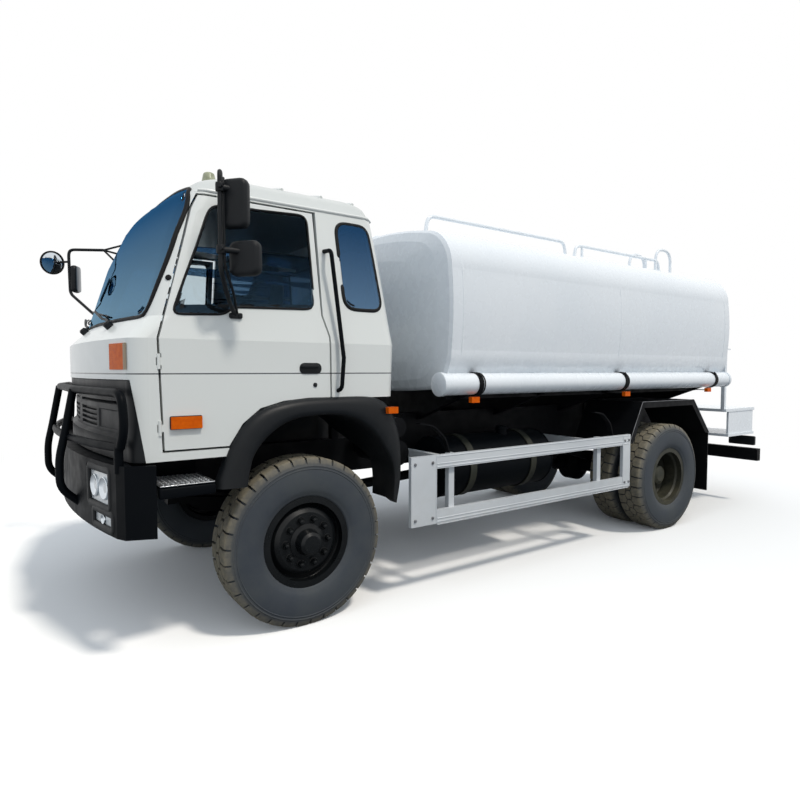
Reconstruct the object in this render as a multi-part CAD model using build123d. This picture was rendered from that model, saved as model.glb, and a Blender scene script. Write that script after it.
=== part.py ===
from build123d import *
import math
import os

# Water tanker truck: cab-over 4x4 chassis, rounded tank, twin rear wheels.
# Millimetres. +X forward, +Y to the driver's left, +Z up. The origin is on the ground at mid-length.

# ---- overall ----
WHEELBASE = 3950.0
FRONT_OVERHANG = 1290.0
REAR_OVERHANG = 2030.0
OVERALL_LENGTH = FRONT_OVERHANG + WHEELBASE + REAR_OVERHANG
FRONT_X = OVERALL_LENGTH / 2
FRONT_AXLE_X = FRONT_X - FRONT_OVERHANG
REAR_AXLE_X = FRONT_AXLE_X - WHEELBASE
REAR_X = -OVERALL_LENGTH / 2
SEAT_GAP = 0.3          # curved faces that seat on each other
MOVING_GAP = 8.0        # between pieces that move past each other

def about_rear(outline):
    """Outline of (distance ahead of the rear axle, z) pairs as (x, z)."""
    return [(REAR_AXLE_X + d, z) for d, z in outline]


# ---- wheels ----
TYRE_R = 527.5
TREAD_HALF_WIDTH = 112.0
TYRE_HALF_WIDTH = 139.0
BEAD_R = 254.0
RIM_FLANGE_R = 285.0
RIM_HALF_WIDTH = 112.0
RIM_WALL = 9.0
SPINDLE_R = 45.0
AXLE_Z = TYRE_R
FRONT_WHEEL_Y = 980.0
TWIN_MID_Y = 890.0
TWIN_SPACING = 320.0
WHEEL_STUDS = 10
STUD_CIRCLE_R = 142.0

# ---- front axle and steering ----
KINGPIN_Y = 810.0
KINGPIN_R = 22.0
KNUCKLE_R = 78.0
KNUCKLE_HALF_HEIGHT = 110.0
YOKE_THICKNESS = 34.0
STEERING_ARM_LENGTH = 215.0
TIE_ROD_DROP = 72.0
AXLE_TUBE_R = 70.0

# ---- chassis frame ----
RAIL_OUTER_Y = 430.0
RAIL_FLANGE = 75.0
RAIL_BOTTOM_Z = 820.0
RAIL_HEIGHT = 250.0
RAIL_WALL = 9.0
RAIL_FRONT_X = FRONT_AXLE_X + 930
RAIL_REAR_X = FRONT_AXLE_X - 5300
RAIL_TOP_Z = RAIL_BOTTOM_Z + RAIL_HEIGHT

# ---- cab ----
CAB_HALF_WIDTH = 1150.0
CAB_WALL = 45.0
CAB_UPPER_WALL = 30.0
DOOR_GAP = 12.0
GLASS_INSET = 14.0
GLASS_THICKNESS = 8.0
GLASS_EDGE_GAP = 1.0
BELT_Z = 1760.0
GUTTER_Z = 2592.0
CAB_FLOOR_Z = 1230.0
ARCH_FLOOR_Z = 1420.0
FLOOR_THICKNESS = 30.0
GRILLE_TOP_Z = 1545.0
CAB_BOTTOM_Z = 1115.0
TUNNEL_HALF_WIDTH = 350.0
TUNNEL_TOP_Z = 1600.0

# ---- tank ----
TANK_FRONT_X = FRONT_AXLE_X - 1130
TANK_LENGTH = 4010.0
TANK_REAR_X = TANK_FRONT_X - TANK_LENGTH
TANK_BOTTOM_Z = 1420.0
TANK_TOP_Z = 2725.0
TANK_HALF_WIDTH = 1148.0
HEAD_DEPTH = 160.0


# ---- shape helpers ----
def prism(points, direction):
    """Closed polygon of 3-D points, extruded along a vector."""
    return Solid.extrude(Face(Wire.make_polygon(points)), Vector(*direction))


def side_prism(outline, y_from, y_to):
    """Outline of (x, z) points, extruded across the truck."""
    return prism([(x, y_from, z) for x, z in outline], (0, y_to - y_from, 0))


def front_prism(outline, x_from, x_to):
    """Outline of (y, z) points, extruded along the truck."""
    return prism([(x_from, y, z) for y, z in outline], (x_to - x_from, 0, 0))


def plan_prism(outline, z_from, z_to):
    """Outline of (x, y) points, extruded upward."""
    return prism([(x, y, z_from) for x, y in outline], (0, 0, z_to - z_from))


def block(x, y, z):
    """Box from three (low, high) pairs."""
    size = (x[1] - x[0], y[1] - y[0], z[1] - z[0])
    return Pos(x[0], y[0], z[0]) * Box(*size, align=(Align.MIN, Align.MIN, Align.MIN))


def rod(start, end, radius, bore=0.0):
    """Round bar or pipe between two points."""
    axis = Vector(*end) - Vector(*start)
    plane = Plane(origin=start, z_dir=axis)
    bar = extrude(plane * Circle(radius), axis.length)
    if bore:
        bar = bar - extrude(plane * Circle(bore), axis.length)
    return bar


def bent_tube(points, radius, bend):
    """Round tube along straight runs joined by arcs of radius bend."""
    path = FilletPolyline(*points, radius=bend)
    plane = Plane(origin=path @ 0, z_dir=path % 0)
    return sweep(plane * Circle(radius), path=path)


def spin_y(outline, x, y, z, side=1):
    """Outline of (radius, outward) points turned about a cross axis through (x, y, z)."""
    face = Face(Wire.make_polygon([(r, out * side, 0) for r, out in outline]))
    return Pos(x, y, z) * Solid.revolve(face, 360, Axis.Y)


def both_sides(shape):
    """The shape and its mirror image across the truck's middle."""
    return shape + mirror(shape, about=Plane.XZ)


def ahead(distance):
    """X of a point a distance ahead of the front axle."""
    return FRONT_AXLE_X + distance


def ahead_all(outline):
    """Outline of (distance ahead of the front axle, z) pairs as (x, z)."""
    return [(ahead(d), z) for d, z in outline]


# ---- wheels ----
TYRE_OUTLINE = [
    # radius, outward from the wheel's middle
    (BEAD_R + SEAT_GAP, -RIM_HALF_WIDTH + 8 + SEAT_GAP),
    (RIM_FLANGE_R + SEAT_GAP, -RIM_HALF_WIDTH + 8 + SEAT_GAP),
    (RIM_FLANGE_R + 4, -RIM_HALF_WIDTH - 6),
    (400, -TYRE_HALF_WIDTH),
    (470, -TYRE_HALF_WIDTH + 6),
    (TYRE_R - 12, -TREAD_HALF_WIDTH - 4),
    (TYRE_R, -TREAD_HALF_WIDTH + 22),
    (TYRE_R, TREAD_HALF_WIDTH - 22),
    (TYRE_R - 12, TREAD_HALF_WIDTH + 4),
    (470, TYRE_HALF_WIDTH - 6),
    (400, TYRE_HALF_WIDTH),
    (RIM_FLANGE_R + 4, RIM_HALF_WIDTH + 6),
    (RIM_FLANGE_R + SEAT_GAP, RIM_HALF_WIDTH - 8 - SEAT_GAP),
    (BEAD_R + SEAT_GAP, RIM_HALF_WIDTH - 8 - SEAT_GAP),
]

RIM_OUTLINE = [
    (RIM_FLANGE_R, -RIM_HALF_WIDTH),
    (RIM_FLANGE_R, -RIM_HALF_WIDTH + 8),
    (BEAD_R, -RIM_HALF_WIDTH + 8),
    (BEAD_R, -60),
    (BEAD_R - 14, -45),
    (BEAD_R - 14, 45),
    (BEAD_R, 60),
    (BEAD_R, RIM_HALF_WIDTH - 8),
    (RIM_FLANGE_R, RIM_HALF_WIDTH - 8),
    (RIM_FLANGE_R, RIM_HALF_WIDTH),
    (BEAD_R - RIM_WALL, RIM_HALF_WIDTH),
    (BEAD_R - RIM_WALL, 64),
    (BEAD_R - 14 - RIM_WALL, 48),
    (BEAD_R - 14 - RIM_WALL, -48),
    (BEAD_R - RIM_WALL, -64),
    (BEAD_R - RIM_WALL, -RIM_HALF_WIDTH),
]

FRONT_DISC_OUTLINE = [
    (235, 20),
    (235, 50),
    (208, 82),
    (182, 98),
    (110, 98),
    (110, 86),
    (176, 86),
    (200, 70),
    (222, 44),
    (222, 20),
]

FRONT_HUB_OUTLINE = [
    (SPINDLE_R + SEAT_GAP, -20),
    (SPINDLE_R + SEAT_GAP, 108),
    (0, 108),
    (0, 176),
    (52, 176),
    (70, 164),
    (78, 140),
    (84, 112),
    (112, 104),
    (112, 70),
    (206, 60),
    (206, -50),
    (192, -50),
    (192, 46),
    (80, 50),
    (72, -20),
]

REAR_DISC_OUTLINE = [
    # the outer wheel's disc lies at the inner edge of its rim, so the wheel looks deep
    (236, -40),
    (236, -75),
    (205, -130),
    (180, -148),
    (110, -148),
    (110, -160),
    (186, -160),
    (214, -140),
    (246, -90),
    (246, -70),
]

REAR_HUB_OUTLINE = [
    (SPINDLE_R + SEAT_GAP, -300),
    (SPINDLE_R + SEAT_GAP, -10),
    (0, -10),
    (0, 30),
    (60, 30),
    (92, 14),
    (100, -110),
    (116, -146),
    (116, -172),
    (206, -180),
    (206, -300),
    (192, -300),
    (192, -196),
    (100, -188),
    (72, -300),
]


def wheel_nuts(x, y, z, side):
    """Ring of studs and nuts standing out from a disc's mounting face."""
    nuts = []
    for index in range(WHEEL_STUDS):
        turn = 2 * math.pi * index / WHEEL_STUDS
        px = x + STUD_CIRCLE_R * math.cos(turn)
        pz = z + STUD_CIRCLE_R * math.sin(turn)
        nuts.append(rod((px, y, pz), (px, y + side * 30, pz), 15))
    return nuts


def fuse_all(shapes):
    """Union of a list of shapes."""
    total = shapes[0]
    for shape in shapes[1:]:
        total = total + shape
    return total


def front_rim(side):
    """Rim, disc, hub, brake drum and nuts of a front wheel."""
    y = side * FRONT_WHEEL_Y
    at = (FRONT_AXLE_X, y, AXLE_Z, side)
    rounds = [spin_y(o, *at) for o in (RIM_OUTLINE, FRONT_DISC_OUTLINE, FRONT_HUB_OUTLINE)]
    return fuse_all(rounds + wheel_nuts(FRONT_AXLE_X, y + side * 96, AXLE_Z, side))


def rear_rims(side):
    """Twin rims with their discs back to back, hub, drum and nuts of one rear side."""
    outer_y = side * (TWIN_MID_Y + TWIN_SPACING / 2)
    inner_y = side * (TWIN_MID_Y - TWIN_SPACING / 2)
    at_outer = (REAR_AXLE_X, outer_y, AXLE_Z, side)
    at_inner = (REAR_AXLE_X, inner_y, AXLE_Z, -side)
    rounds = [spin_y(o, *at_outer) for o in (RIM_OUTLINE, REAR_DISC_OUTLINE, REAR_HUB_OUTLINE)]
    rounds += [spin_y(o, *at_inner) for o in (RIM_OUTLINE, REAR_DISC_OUTLINE)]
    return fuse_all(rounds + wheel_nuts(REAR_AXLE_X, outer_y - side * 150, AXLE_Z, side))


def front_tyre(side):
    """One front tyre out to its lugs' tips."""
    return spin_y(TYRE_OUTLINE, FRONT_AXLE_X, side * FRONT_WHEEL_Y, AXLE_Z)


def rear_tyres(side):
    """Twin rear tyres of one side."""
    ys = [side * (TWIN_MID_Y + TWIN_SPACING / 2), side * (TWIN_MID_Y - TWIN_SPACING / 2)]
    return Compound([spin_y(TYRE_OUTLINE, REAR_AXLE_X, y, AXLE_Z) for y in ys])


# ---- axles and steering ----
BACKING_PLATE_Y = FRONT_WHEEL_Y - 64
YOKE_TOP = KNUCKLE_HALF_HEIGHT + MOVING_GAP + YOKE_THICKNESS
YOKE_WEB_Y = KINGPIN_Y - KNUCKLE_R - MOVING_GAP
DIFF_R = 150.0
REAR_DIFF_R = 195.0


def front_axle():
    """Beam with differential, forked ends and kingpins."""
    x, z = FRONT_AXLE_X, AXLE_Z
    beam = rod((x, -YOKE_WEB_Y + 20, z), (x, YOKE_WEB_Y - 20, z), AXLE_TUBE_R)
    diff = spin_y([(0, -120), (90, -120), (DIFF_R, -60), (DIFF_R, 60), (90, 120), (0, 120)], x, 0, z)
    nose = rod((x - DIFF_R - 60, 0, z + 20), (x, 0, z + 20), 70)
    ends = []
    web = block((x - 60, x + 60), (YOKE_WEB_Y - 34, YOKE_WEB_Y), (z - YOKE_TOP, z + YOKE_TOP))
    for sign in (1, -1):
        low, high = sorted((sign * (KNUCKLE_HALF_HEIGHT + MOVING_GAP), sign * YOKE_TOP))
        arm = block((x - 55, x + 55), (YOKE_WEB_Y - 34, KINGPIN_Y), (z + low, z + high))
        eye = rod((x, KINGPIN_Y, z + low), (x, KINGPIN_Y, z + high), 55)
        ends += [arm, eye]
    pin = rod((x, KINGPIN_Y, z - YOKE_TOP), (x, KINGPIN_Y, z + YOKE_TOP), KINGPIN_R)
    end = fuse_all([web, pin] + ends)
    return fuse_all([beam, diff, nose, both_sides(end)])


def steering_knuckle(side):
    """Kingpin housing, spindle, backing plate and steering arm of one side."""
    x, z = FRONT_AXLE_X, AXLE_Z
    housing = rod((x, KINGPIN_Y, z - KNUCKLE_HALF_HEIGHT), (x, KINGPIN_Y, z + KNUCKLE_HALF_HEIGHT), KNUCKLE_R)
    spindle = rod((x, KINGPIN_Y, z), (x, FRONT_WHEEL_Y + 100, z), SPINDLE_R)
    plate = rod((x, BACKING_PLATE_Y - 8, z), (x, BACKING_PLATE_Y, z), 196)
    neck = rod((x, KINGPIN_Y, z), (x, BACKING_PLATE_Y, z), 70)
    arm_z = z - TIE_ROD_DROP
    arm = block((x - STEERING_ARM_LENGTH, x), (KINGPIN_Y - 16, KINGPIN_Y + 16), (arm_z - 12, arm_z + 12))
    boss_x = x - STEERING_ARM_LENGTH
    boss = rod((boss_x, KINGPIN_Y, arm_z - 12), (boss_x, KINGPIN_Y, arm_z + 12), 24)
    pin = rod((boss_x, KINGPIN_Y, arm_z - 40), (boss_x, KINGPIN_Y, arm_z), 10)
    bore = rod((x, KINGPIN_Y, z - KNUCKLE_HALF_HEIGHT), (x, KINGPIN_Y, z + KNUCKLE_HALF_HEIGHT), KINGPIN_R + SEAT_GAP)
    knuckle = fuse_all([housing, spindle, plate, neck, arm, boss, pin]) - bore
    if side < 0:
        knuckle = mirror(knuckle, about=Plane.XZ)
    return knuckle


def tie_rod():
    """Rod below the steering arms, with an eye round the left arm's pin and an open end at the right."""
    x = FRONT_AXLE_X - STEERING_ARM_LENGTH
    z = AXLE_Z - TIE_ROD_DROP - 30
    eye = rod((x, KINGPIN_Y, z - 10), (x, KINGPIN_Y, z + 10), 22, 10 + SEAT_GAP)
    far_eye = rod((x, -KINGPIN_Y, z - 10), (x, -KINGPIN_Y, z + 10), 26, 14)
    bar = rod((x, -KINGPIN_Y + 20, z), (x, KINGPIN_Y - 16, z), 16)
    bar = bar - rod((x, -KINGPIN_Y, z - 20), (x, -KINGPIN_Y, z + 20), 14)
    return fuse_all([bar, eye, far_eye])


def rear_axle():
    """Banjo housing with tubes and spindles."""
    x, z = REAR_AXLE_X, AXLE_Z
    tube_y = TWIN_MID_Y - 330
    beam = rod((x, -tube_y, z), (x, tube_y, z), AXLE_TUBE_R + 12)
    diff = spin_y([(0, -140), (110, -140), (REAR_DIFF_R, -70), (REAR_DIFF_R, 70), (110, 140), (0, 140)], x, 0, z)
    nose = rod((x, 0, z + 20), (x + REAR_DIFF_R + 120, 0, z + 20), 80)
    spindles = rod((x, -TWIN_MID_Y - 130, z), (x, TWIN_MID_Y + 130, z), SPINDLE_R)
    return fuse_all([beam, diff, nose, spindles])


def leaf_spring(axle_x, y, half_length, tube_r):
    """Arched pack of leaves on its axle seat, with hangers up to the frame rail."""
    seat_z = AXLE_Z + tube_r
    eye_z = RAIL_BOTTOM_Z - 60
    pack = side_prism(
        [
            (axle_x - half_length, eye_z + 12),
            (axle_x - half_length, eye_z - 12),
            (axle_x - half_length * 0.5, seat_z + 30),
            (axle_x - 75, seat_z),
            (axle_x + 75, seat_z),
            (axle_x + half_length * 0.5, seat_z + 30),
            (axle_x + half_length, eye_z - 12),
            (axle_x + half_length, eye_z + 12),
            (axle_x, seat_z + 90),
        ],
        y - 40,
        y + 40,
    )
    hangers = []
    for sign in (1, -1):
        eye_x = axle_x + sign * half_length
        hangers.append(block((eye_x - 30, eye_x + 30), (y - 45, y + 45), (eye_z - 35, RAIL_BOTTOM_Z)))
    return fuse_all([pack] + hangers)


def leaf_springs():
    """Four spring packs."""
    front = leaf_spring(FRONT_AXLE_X, RAIL_OUTER_Y - 40, 640, AXLE_TUBE_R + SEAT_GAP)
    rear = leaf_spring(REAR_AXLE_X, RAIL_OUTER_Y - 10, 700, AXLE_TUBE_R + 12 + SEAT_GAP)
    return both_sides(front) + both_sides(rear)


# ---- frame, engine and driveline ----
CROSSMEMBERS = (870, -1090, -1750, -2900, -3950, -5200)


def cab_mounts():
    """Front brackets and rear posts with a cross tube that carry the cab on the rails."""
    front = block((ahead(800), ahead(860)), (RAIL_OUTER_Y - 50, RAIL_OUTER_Y), (RAIL_TOP_Z, CAB_FLOOR_Z))
    rear = block((ahead(-590), ahead(-530)), (RAIL_OUTER_Y - 50, RAIL_OUTER_Y), (RAIL_TOP_Z, ARCH_FLOOR_Z))
    tube = rod((ahead(-560), -RAIL_OUTER_Y + 10, 1320), (ahead(-560), RAIL_OUTER_Y - 10, 1320), 28)
    return [both_sides(front), both_sides(rear), tube]


def chassis_frame():
    """Two channel rails joined by crossmembers."""
    inner_y = RAIL_OUTER_Y - RAIL_FLANGE
    rail = block((RAIL_REAR_X, RAIL_FRONT_X), (inner_y, RAIL_OUTER_Y), (RAIL_BOTTOM_Z, RAIL_TOP_Z))
    hollow = block(
        (RAIL_REAR_X, RAIL_FRONT_X),
        (inner_y, RAIL_OUTER_Y - RAIL_WALL),
        (RAIL_BOTTOM_Z + RAIL_WALL, RAIL_TOP_Z - RAIL_WALL),
    )
    pieces = [both_sides(rail - hollow)]
    for distance in CROSSMEMBERS:
        x = ahead(distance)
        y = RAIL_OUTER_Y - RAIL_WALL
        pieces.append(block((x - 35, x + 35), (-y, y), (RAIL_BOTTOM_Z + 60, RAIL_TOP_Z - 60)))
    pieces.append(transfer_hanger())
    pieces += cab_mounts()
    for distance in (-330, 480):
        x = ahead(distance)
        pieces.append(both_sides(block((x - 40, x + 40), (300, RAIL_OUTER_Y - RAIL_WALL), (900, 950))))
    return fuse_all(pieces)


ENGINE_X = (ahead(-480), ahead(640))
ENGINE_Z = (860, 1540)


def engine_block():
    """Plain block at the engine's place between the rails, under the cab."""
    return block(ENGINE_X, (-300, 300), ENGINE_Z)


def radiator():
    """Core in front of the engine on its crossmember."""
    x = ahead(870)
    return block((x - 35, x + 35), (-320, 320), (RAIL_TOP_Z - 60, 1480))


def driveline():
    """Gearbox behind the engine, transfer case, and shafts to both axles."""
    engine_rear = ENGINE_X[0]
    gearbox = front_prism([(-230, 790), (230, 790), (200, 1240), (-200, 1240)], engine_rear - 520, engine_rear)
    case_x = ahead(-1790)
    transfer = block((case_x - 280, case_x), (-220, 220), (560, 865))
    link = rod((case_x, 0, 780), (engine_rear - 520, 0, 830), 36)
    front_end = FRONT_AXLE_X - DIFF_R - 60
    rear_end = REAR_AXLE_X + REAR_DIFF_R + 120
    axle_line = AXLE_Z + 20
    front_shaft = rod((case_x, 0, 640), (front_end - 14, 0, axle_line), 42)
    front_flange = rod((front_end - 22, 0, axle_line), (front_end, 0, axle_line), 62)
    rear_shaft = rod((case_x - 280, 0, 640), (rear_end + 14, 0, axle_line), 48)
    rear_flange = rod((rear_end, 0, axle_line), (rear_end + 22, 0, axle_line), 68)
    return fuse_all([gearbox, transfer, link, front_shaft, front_flange, rear_shaft, rear_flange])


def transfer_hanger():
    """Cross plate that carries the transfer case between the rails."""
    x = ahead(-1790) - 140
    y = RAIL_OUTER_Y - RAIL_WALL
    return block((x - 60, x + 60), (-y, y), (865, 885))


# ---- cab ----
ARCH_LINE = [
    # distance ahead, z: where the cab's lower edge meets the wheel arch
    (-700, ARCH_FLOOR_Z),
    (15, ARCH_FLOOR_Z),
    (176, 1404),
    (318, 1365),
    (422, 1283),
    (498, 1160),
    (498, 1000),
]

CAB_SECTIONS = [
    # z, half width, front at the centre, rear, corner radius, wall
    (CAB_BOTTOM_Z, CAB_HALF_WIDTH, ahead(1133), ahead(-615), 90, CAB_WALL),
    (BELT_Z, CAB_HALF_WIDTH, ahead(1133), ahead(-640), 90, CAB_WALL),
    (1880, 1128, ahead(1010), ahead(-630), 95, CAB_UPPER_WALL),
    (2330, 1048, ahead(865), ahead(-592), 100, CAB_UPPER_WALL),
    (GUTTER_Z, 1000, ahead(742), ahead(-565), 110, CAB_UPPER_WALL),
    (2735, 880, ahead(655), ahead(-590), 130, CAB_UPPER_WALL),
    (2790, 700, ahead(520), ahead(-520), 150, CAB_UPPER_WALL),
]
FRONT_SAG = 0.103e-3     # the front face falls back by this times the square of y


def cab_section(z, half_width, front_x, rear_x, corner, inset):
    """Plan outline at one height: bowed front, straight sides, rounded corners."""
    w = half_width - inset
    front = front_x - inset
    rear = rear_x + inset
    r = corner - inset * 0.5
    edge_y = w - r
    edge_x = front - FRONT_SAG * edge_y * edge_y
    slope = 2 * FRONT_SAG * edge_y
    mid = r * (1 - math.sqrt(0.5))
    side_x = edge_x - r - slope * r * 0.5
    points = {
        "front": [(edge_x, -edge_y), (front, 0), (edge_x, edge_y)],
        "left": [(edge_x, edge_y), (edge_x - mid - slope * r * 0.35, w - mid), (side_x, w)],
        "rear_left": [(rear + r, w), (rear + mid, w - mid), (rear, w - r)],
        "rear_right": [(rear, -w + r), (rear + mid, -w + mid), (rear + r, -w)],
        "right": [(side_x, -w), (edge_x - mid - slope * r * 0.35, -w + mid), (edge_x, -edge_y)],
    }
    arcs = {k: Edge.make_three_point_arc(*[(x, y, z) for x, y in p]) for k, p in points.items()}
    left_line = Edge.make_line((side_x, w, z), (rear + r, w, z))
    rear_line = Edge.make_line((rear, w - r, z), (rear, -w + r, z))
    right_line = Edge.make_line((rear + r, -w, z), (side_x, -w, z))
    return Wire([arcs["front"], arcs["left"], left_line, arcs["rear_left"], rear_line,
                 arcs["rear_right"], right_line, arcs["right"]])


def cab_body(extra=0.0, with_wall=False):
    """Solid of the cab's outer form, or of its form set in by the wall and an extra amount."""
    wires = []
    for z, half_width, front_x, rear_x, corner, wall in CAB_SECTIONS:
        inset = (wall if with_wall else 0.0) + extra
        wires.append(cab_section(z, half_width, front_x, rear_x, corner, inset))
    return Solid.make_loft(wires, ruled=True)


DOOR_REAR = -90
DOOR_OUTLINE = [
    # distance ahead of the front axle, z
    (845, 1172),
    (863, BELT_Z),
    (805, 1950),
    (646, 2490),
    (606, 2570),
    (DOOR_REAR, 2570),
    (DOOR_REAR, 1930),
    (-130, 1800),
    (-135, 1428),
    (15, 1428),
    (176, 1414),
    (318, 1376),
    (425, 1292),
    (503, 1172),
]
DOOR_TUMBLE_GAP = [
    # the upper rear edge of the door moves back as it opens, because it leans in
    (DOOR_REAR + 2, 1930),
    (DOOR_REAR - DOOR_GAP, 1930),
    (DOOR_REAR - 22, 2582),
    (DOOR_REAR + 2, 2582),
]
DOOR_WINDOW = [
    (760, 1935),
    (612, 2470),
    (498, 2520),
    (-60, 2540),
    (-48, 1985),
]
REAR_SIDE_WINDOW = [
    (-244, 2535),
    (-484, 2535),
    (-537, 2010),
    (-265, 2010),
]
WINDSCREEN_OUTLINE = [
    # y, z
    (-1010, 1905),
    (1010, 1905),
    (925, 2575),
    (800, 2655),
    (420, 2705),
    (-420, 2705),
    (-800, 2655),
    (-925, 2575),
]
REAR_WINDOW = [
    (-450, 2050),
    (450, 2050),
    (430, 2430),
    (-430, 2430),
]


def grown(outline, amount):
    """Outline moved outward, or inward if negative, by an amount on every side."""
    face = Face(Wire.make_polygon([(a, b, 0) for a, b in outline]))
    wire = offset(face.outer_wire(), amount, kind=Kind.INTERSECTION)
    return [(v.X, v.Y) for v in wire.vertices()]


def offset_prism_y(outline, amount, y_from, y_to):
    """Outline of (distance ahead, z) points offset in its plane, extruded across."""
    flat = Face(Wire.make_polygon([(a, b, 0) for a, b in outline]))
    if amount:
        flat = offset(flat, amount, kind=Kind.INTERSECTION)
    lifted = Plane(origin=(FRONT_AXLE_X, y_from, 0), x_dir=(1, 0, 0), z_dir=(0, -1, 0)) * flat
    return extrude(lifted, amount=y_to - y_from, dir=(0, 1, 0))


def offset_prism_x(outline, amount, x_from, x_to):
    """Outline of (y, z) points offset in its plane, extruded along the truck."""
    flat = Face(Wire.make_polygon([(a, b, 0) for a, b in outline]))
    if amount:
        flat = offset(flat, amount, kind=Kind.INTERSECTION)
    lifted = Plane(origin=(x_from, 0, 0), x_dir=(0, 1, 0), z_dir=(1, 0, 0)) * flat
    return extrude(lifted, amount=x_to - x_from, dir=(1, 0, 0))


DOOR_AXIS = (ahead(867), 1148)
HINGE_HEIGHTS = (1290, 1640)
HINGE_HALF_HEIGHT = 40
HINGE_MIDDLE = 20        # half height of the door's own knuckle
HINGE_R = 9
HINGE_PIN_R = 4
HINGE_CLEAR_R = HINGE_R + 5


def on_door_axis(radius, z_from, z_to):
    """Upright cylinder on the left door's hinge axis."""
    return rod((*DOOR_AXIS, z_from), (*DOOR_AXIS, z_to), radius)


def hinge_reliefs():
    """Spaces cut from the left door and from the cab's edge round the hinges."""
    in_door = [on_door_axis(HINGE_CLEAR_R, z - HINGE_HALF_HEIGHT - 2, z + HINGE_HALF_HEIGHT + 2) for z in HINGE_HEIGHTS]
    in_cab = [on_door_axis(HINGE_CLEAR_R, z - HINGE_MIDDLE, z + HINGE_MIDDLE) for z in HINGE_HEIGHTS]
    return fuse_all(in_door), fuse_all(in_cab)


def hinge_leaves():
    """Knuckles, webs and pins of the left door's hinges: the door's and the cab's."""
    x, y = DOOR_AXIS
    web_y = (y - HINGE_R, CAB_HALF_WIDTH)
    on_door = []
    on_cab = []
    for z in HINGE_HEIGHTS:
        middle = HINGE_MIDDLE - SEAT_GAP
        knuckle = on_door_axis(HINGE_R, z - middle, z + middle)
        web = block((x - 32, x), web_y, (z - middle, z + middle))
        on_door.append(knuckle + web - on_door_axis(HINGE_PIN_R + SEAT_GAP, z - 30, z + 30))
        on_cab.append(on_door_axis(HINGE_PIN_R, z - HINGE_HALF_HEIGHT, z + HINGE_HALF_HEIGHT))
        for low, high in ((-HINGE_HALF_HEIGHT, -HINGE_MIDDLE), (HINGE_MIDDLE, HINGE_HALF_HEIGHT)):
            on_cab.append(on_door_axis(HINGE_R, z + low, z + high))
            on_cab.append(block((x, ahead(880)), web_y, (z + low, z + high)))
    return fuse_all(on_door), fuse_all(on_cab)


def door_zone(amount):
    """Region of the left door, grown by an amount."""
    return offset_prism_y(DOOR_OUTLINE, amount, 850, 1250)


GRILLE_LINE = [
    # distance ahead, z: the edge of the black front against the white sides
    (1000, GRILLE_TOP_Z),
    (935, CAB_BOTTOM_Z - 20),
    (1300, CAB_BOTTOM_Z - 20),
    (1300, GRILLE_TOP_Z),
]


def grille_zone(inset):
    """Region of the grille in the cab's lower front, set in from its edges."""
    return offset_prism_y(GRILLE_LINE, -inset, -1300, 1300)


def corner_lamp_zone(inset):
    """Region of the left corner lamp."""
    return block((ahead(1012 + inset), ahead(1200)), (880 + inset, 1200), (1597 + inset, 1735 - inset))


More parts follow.
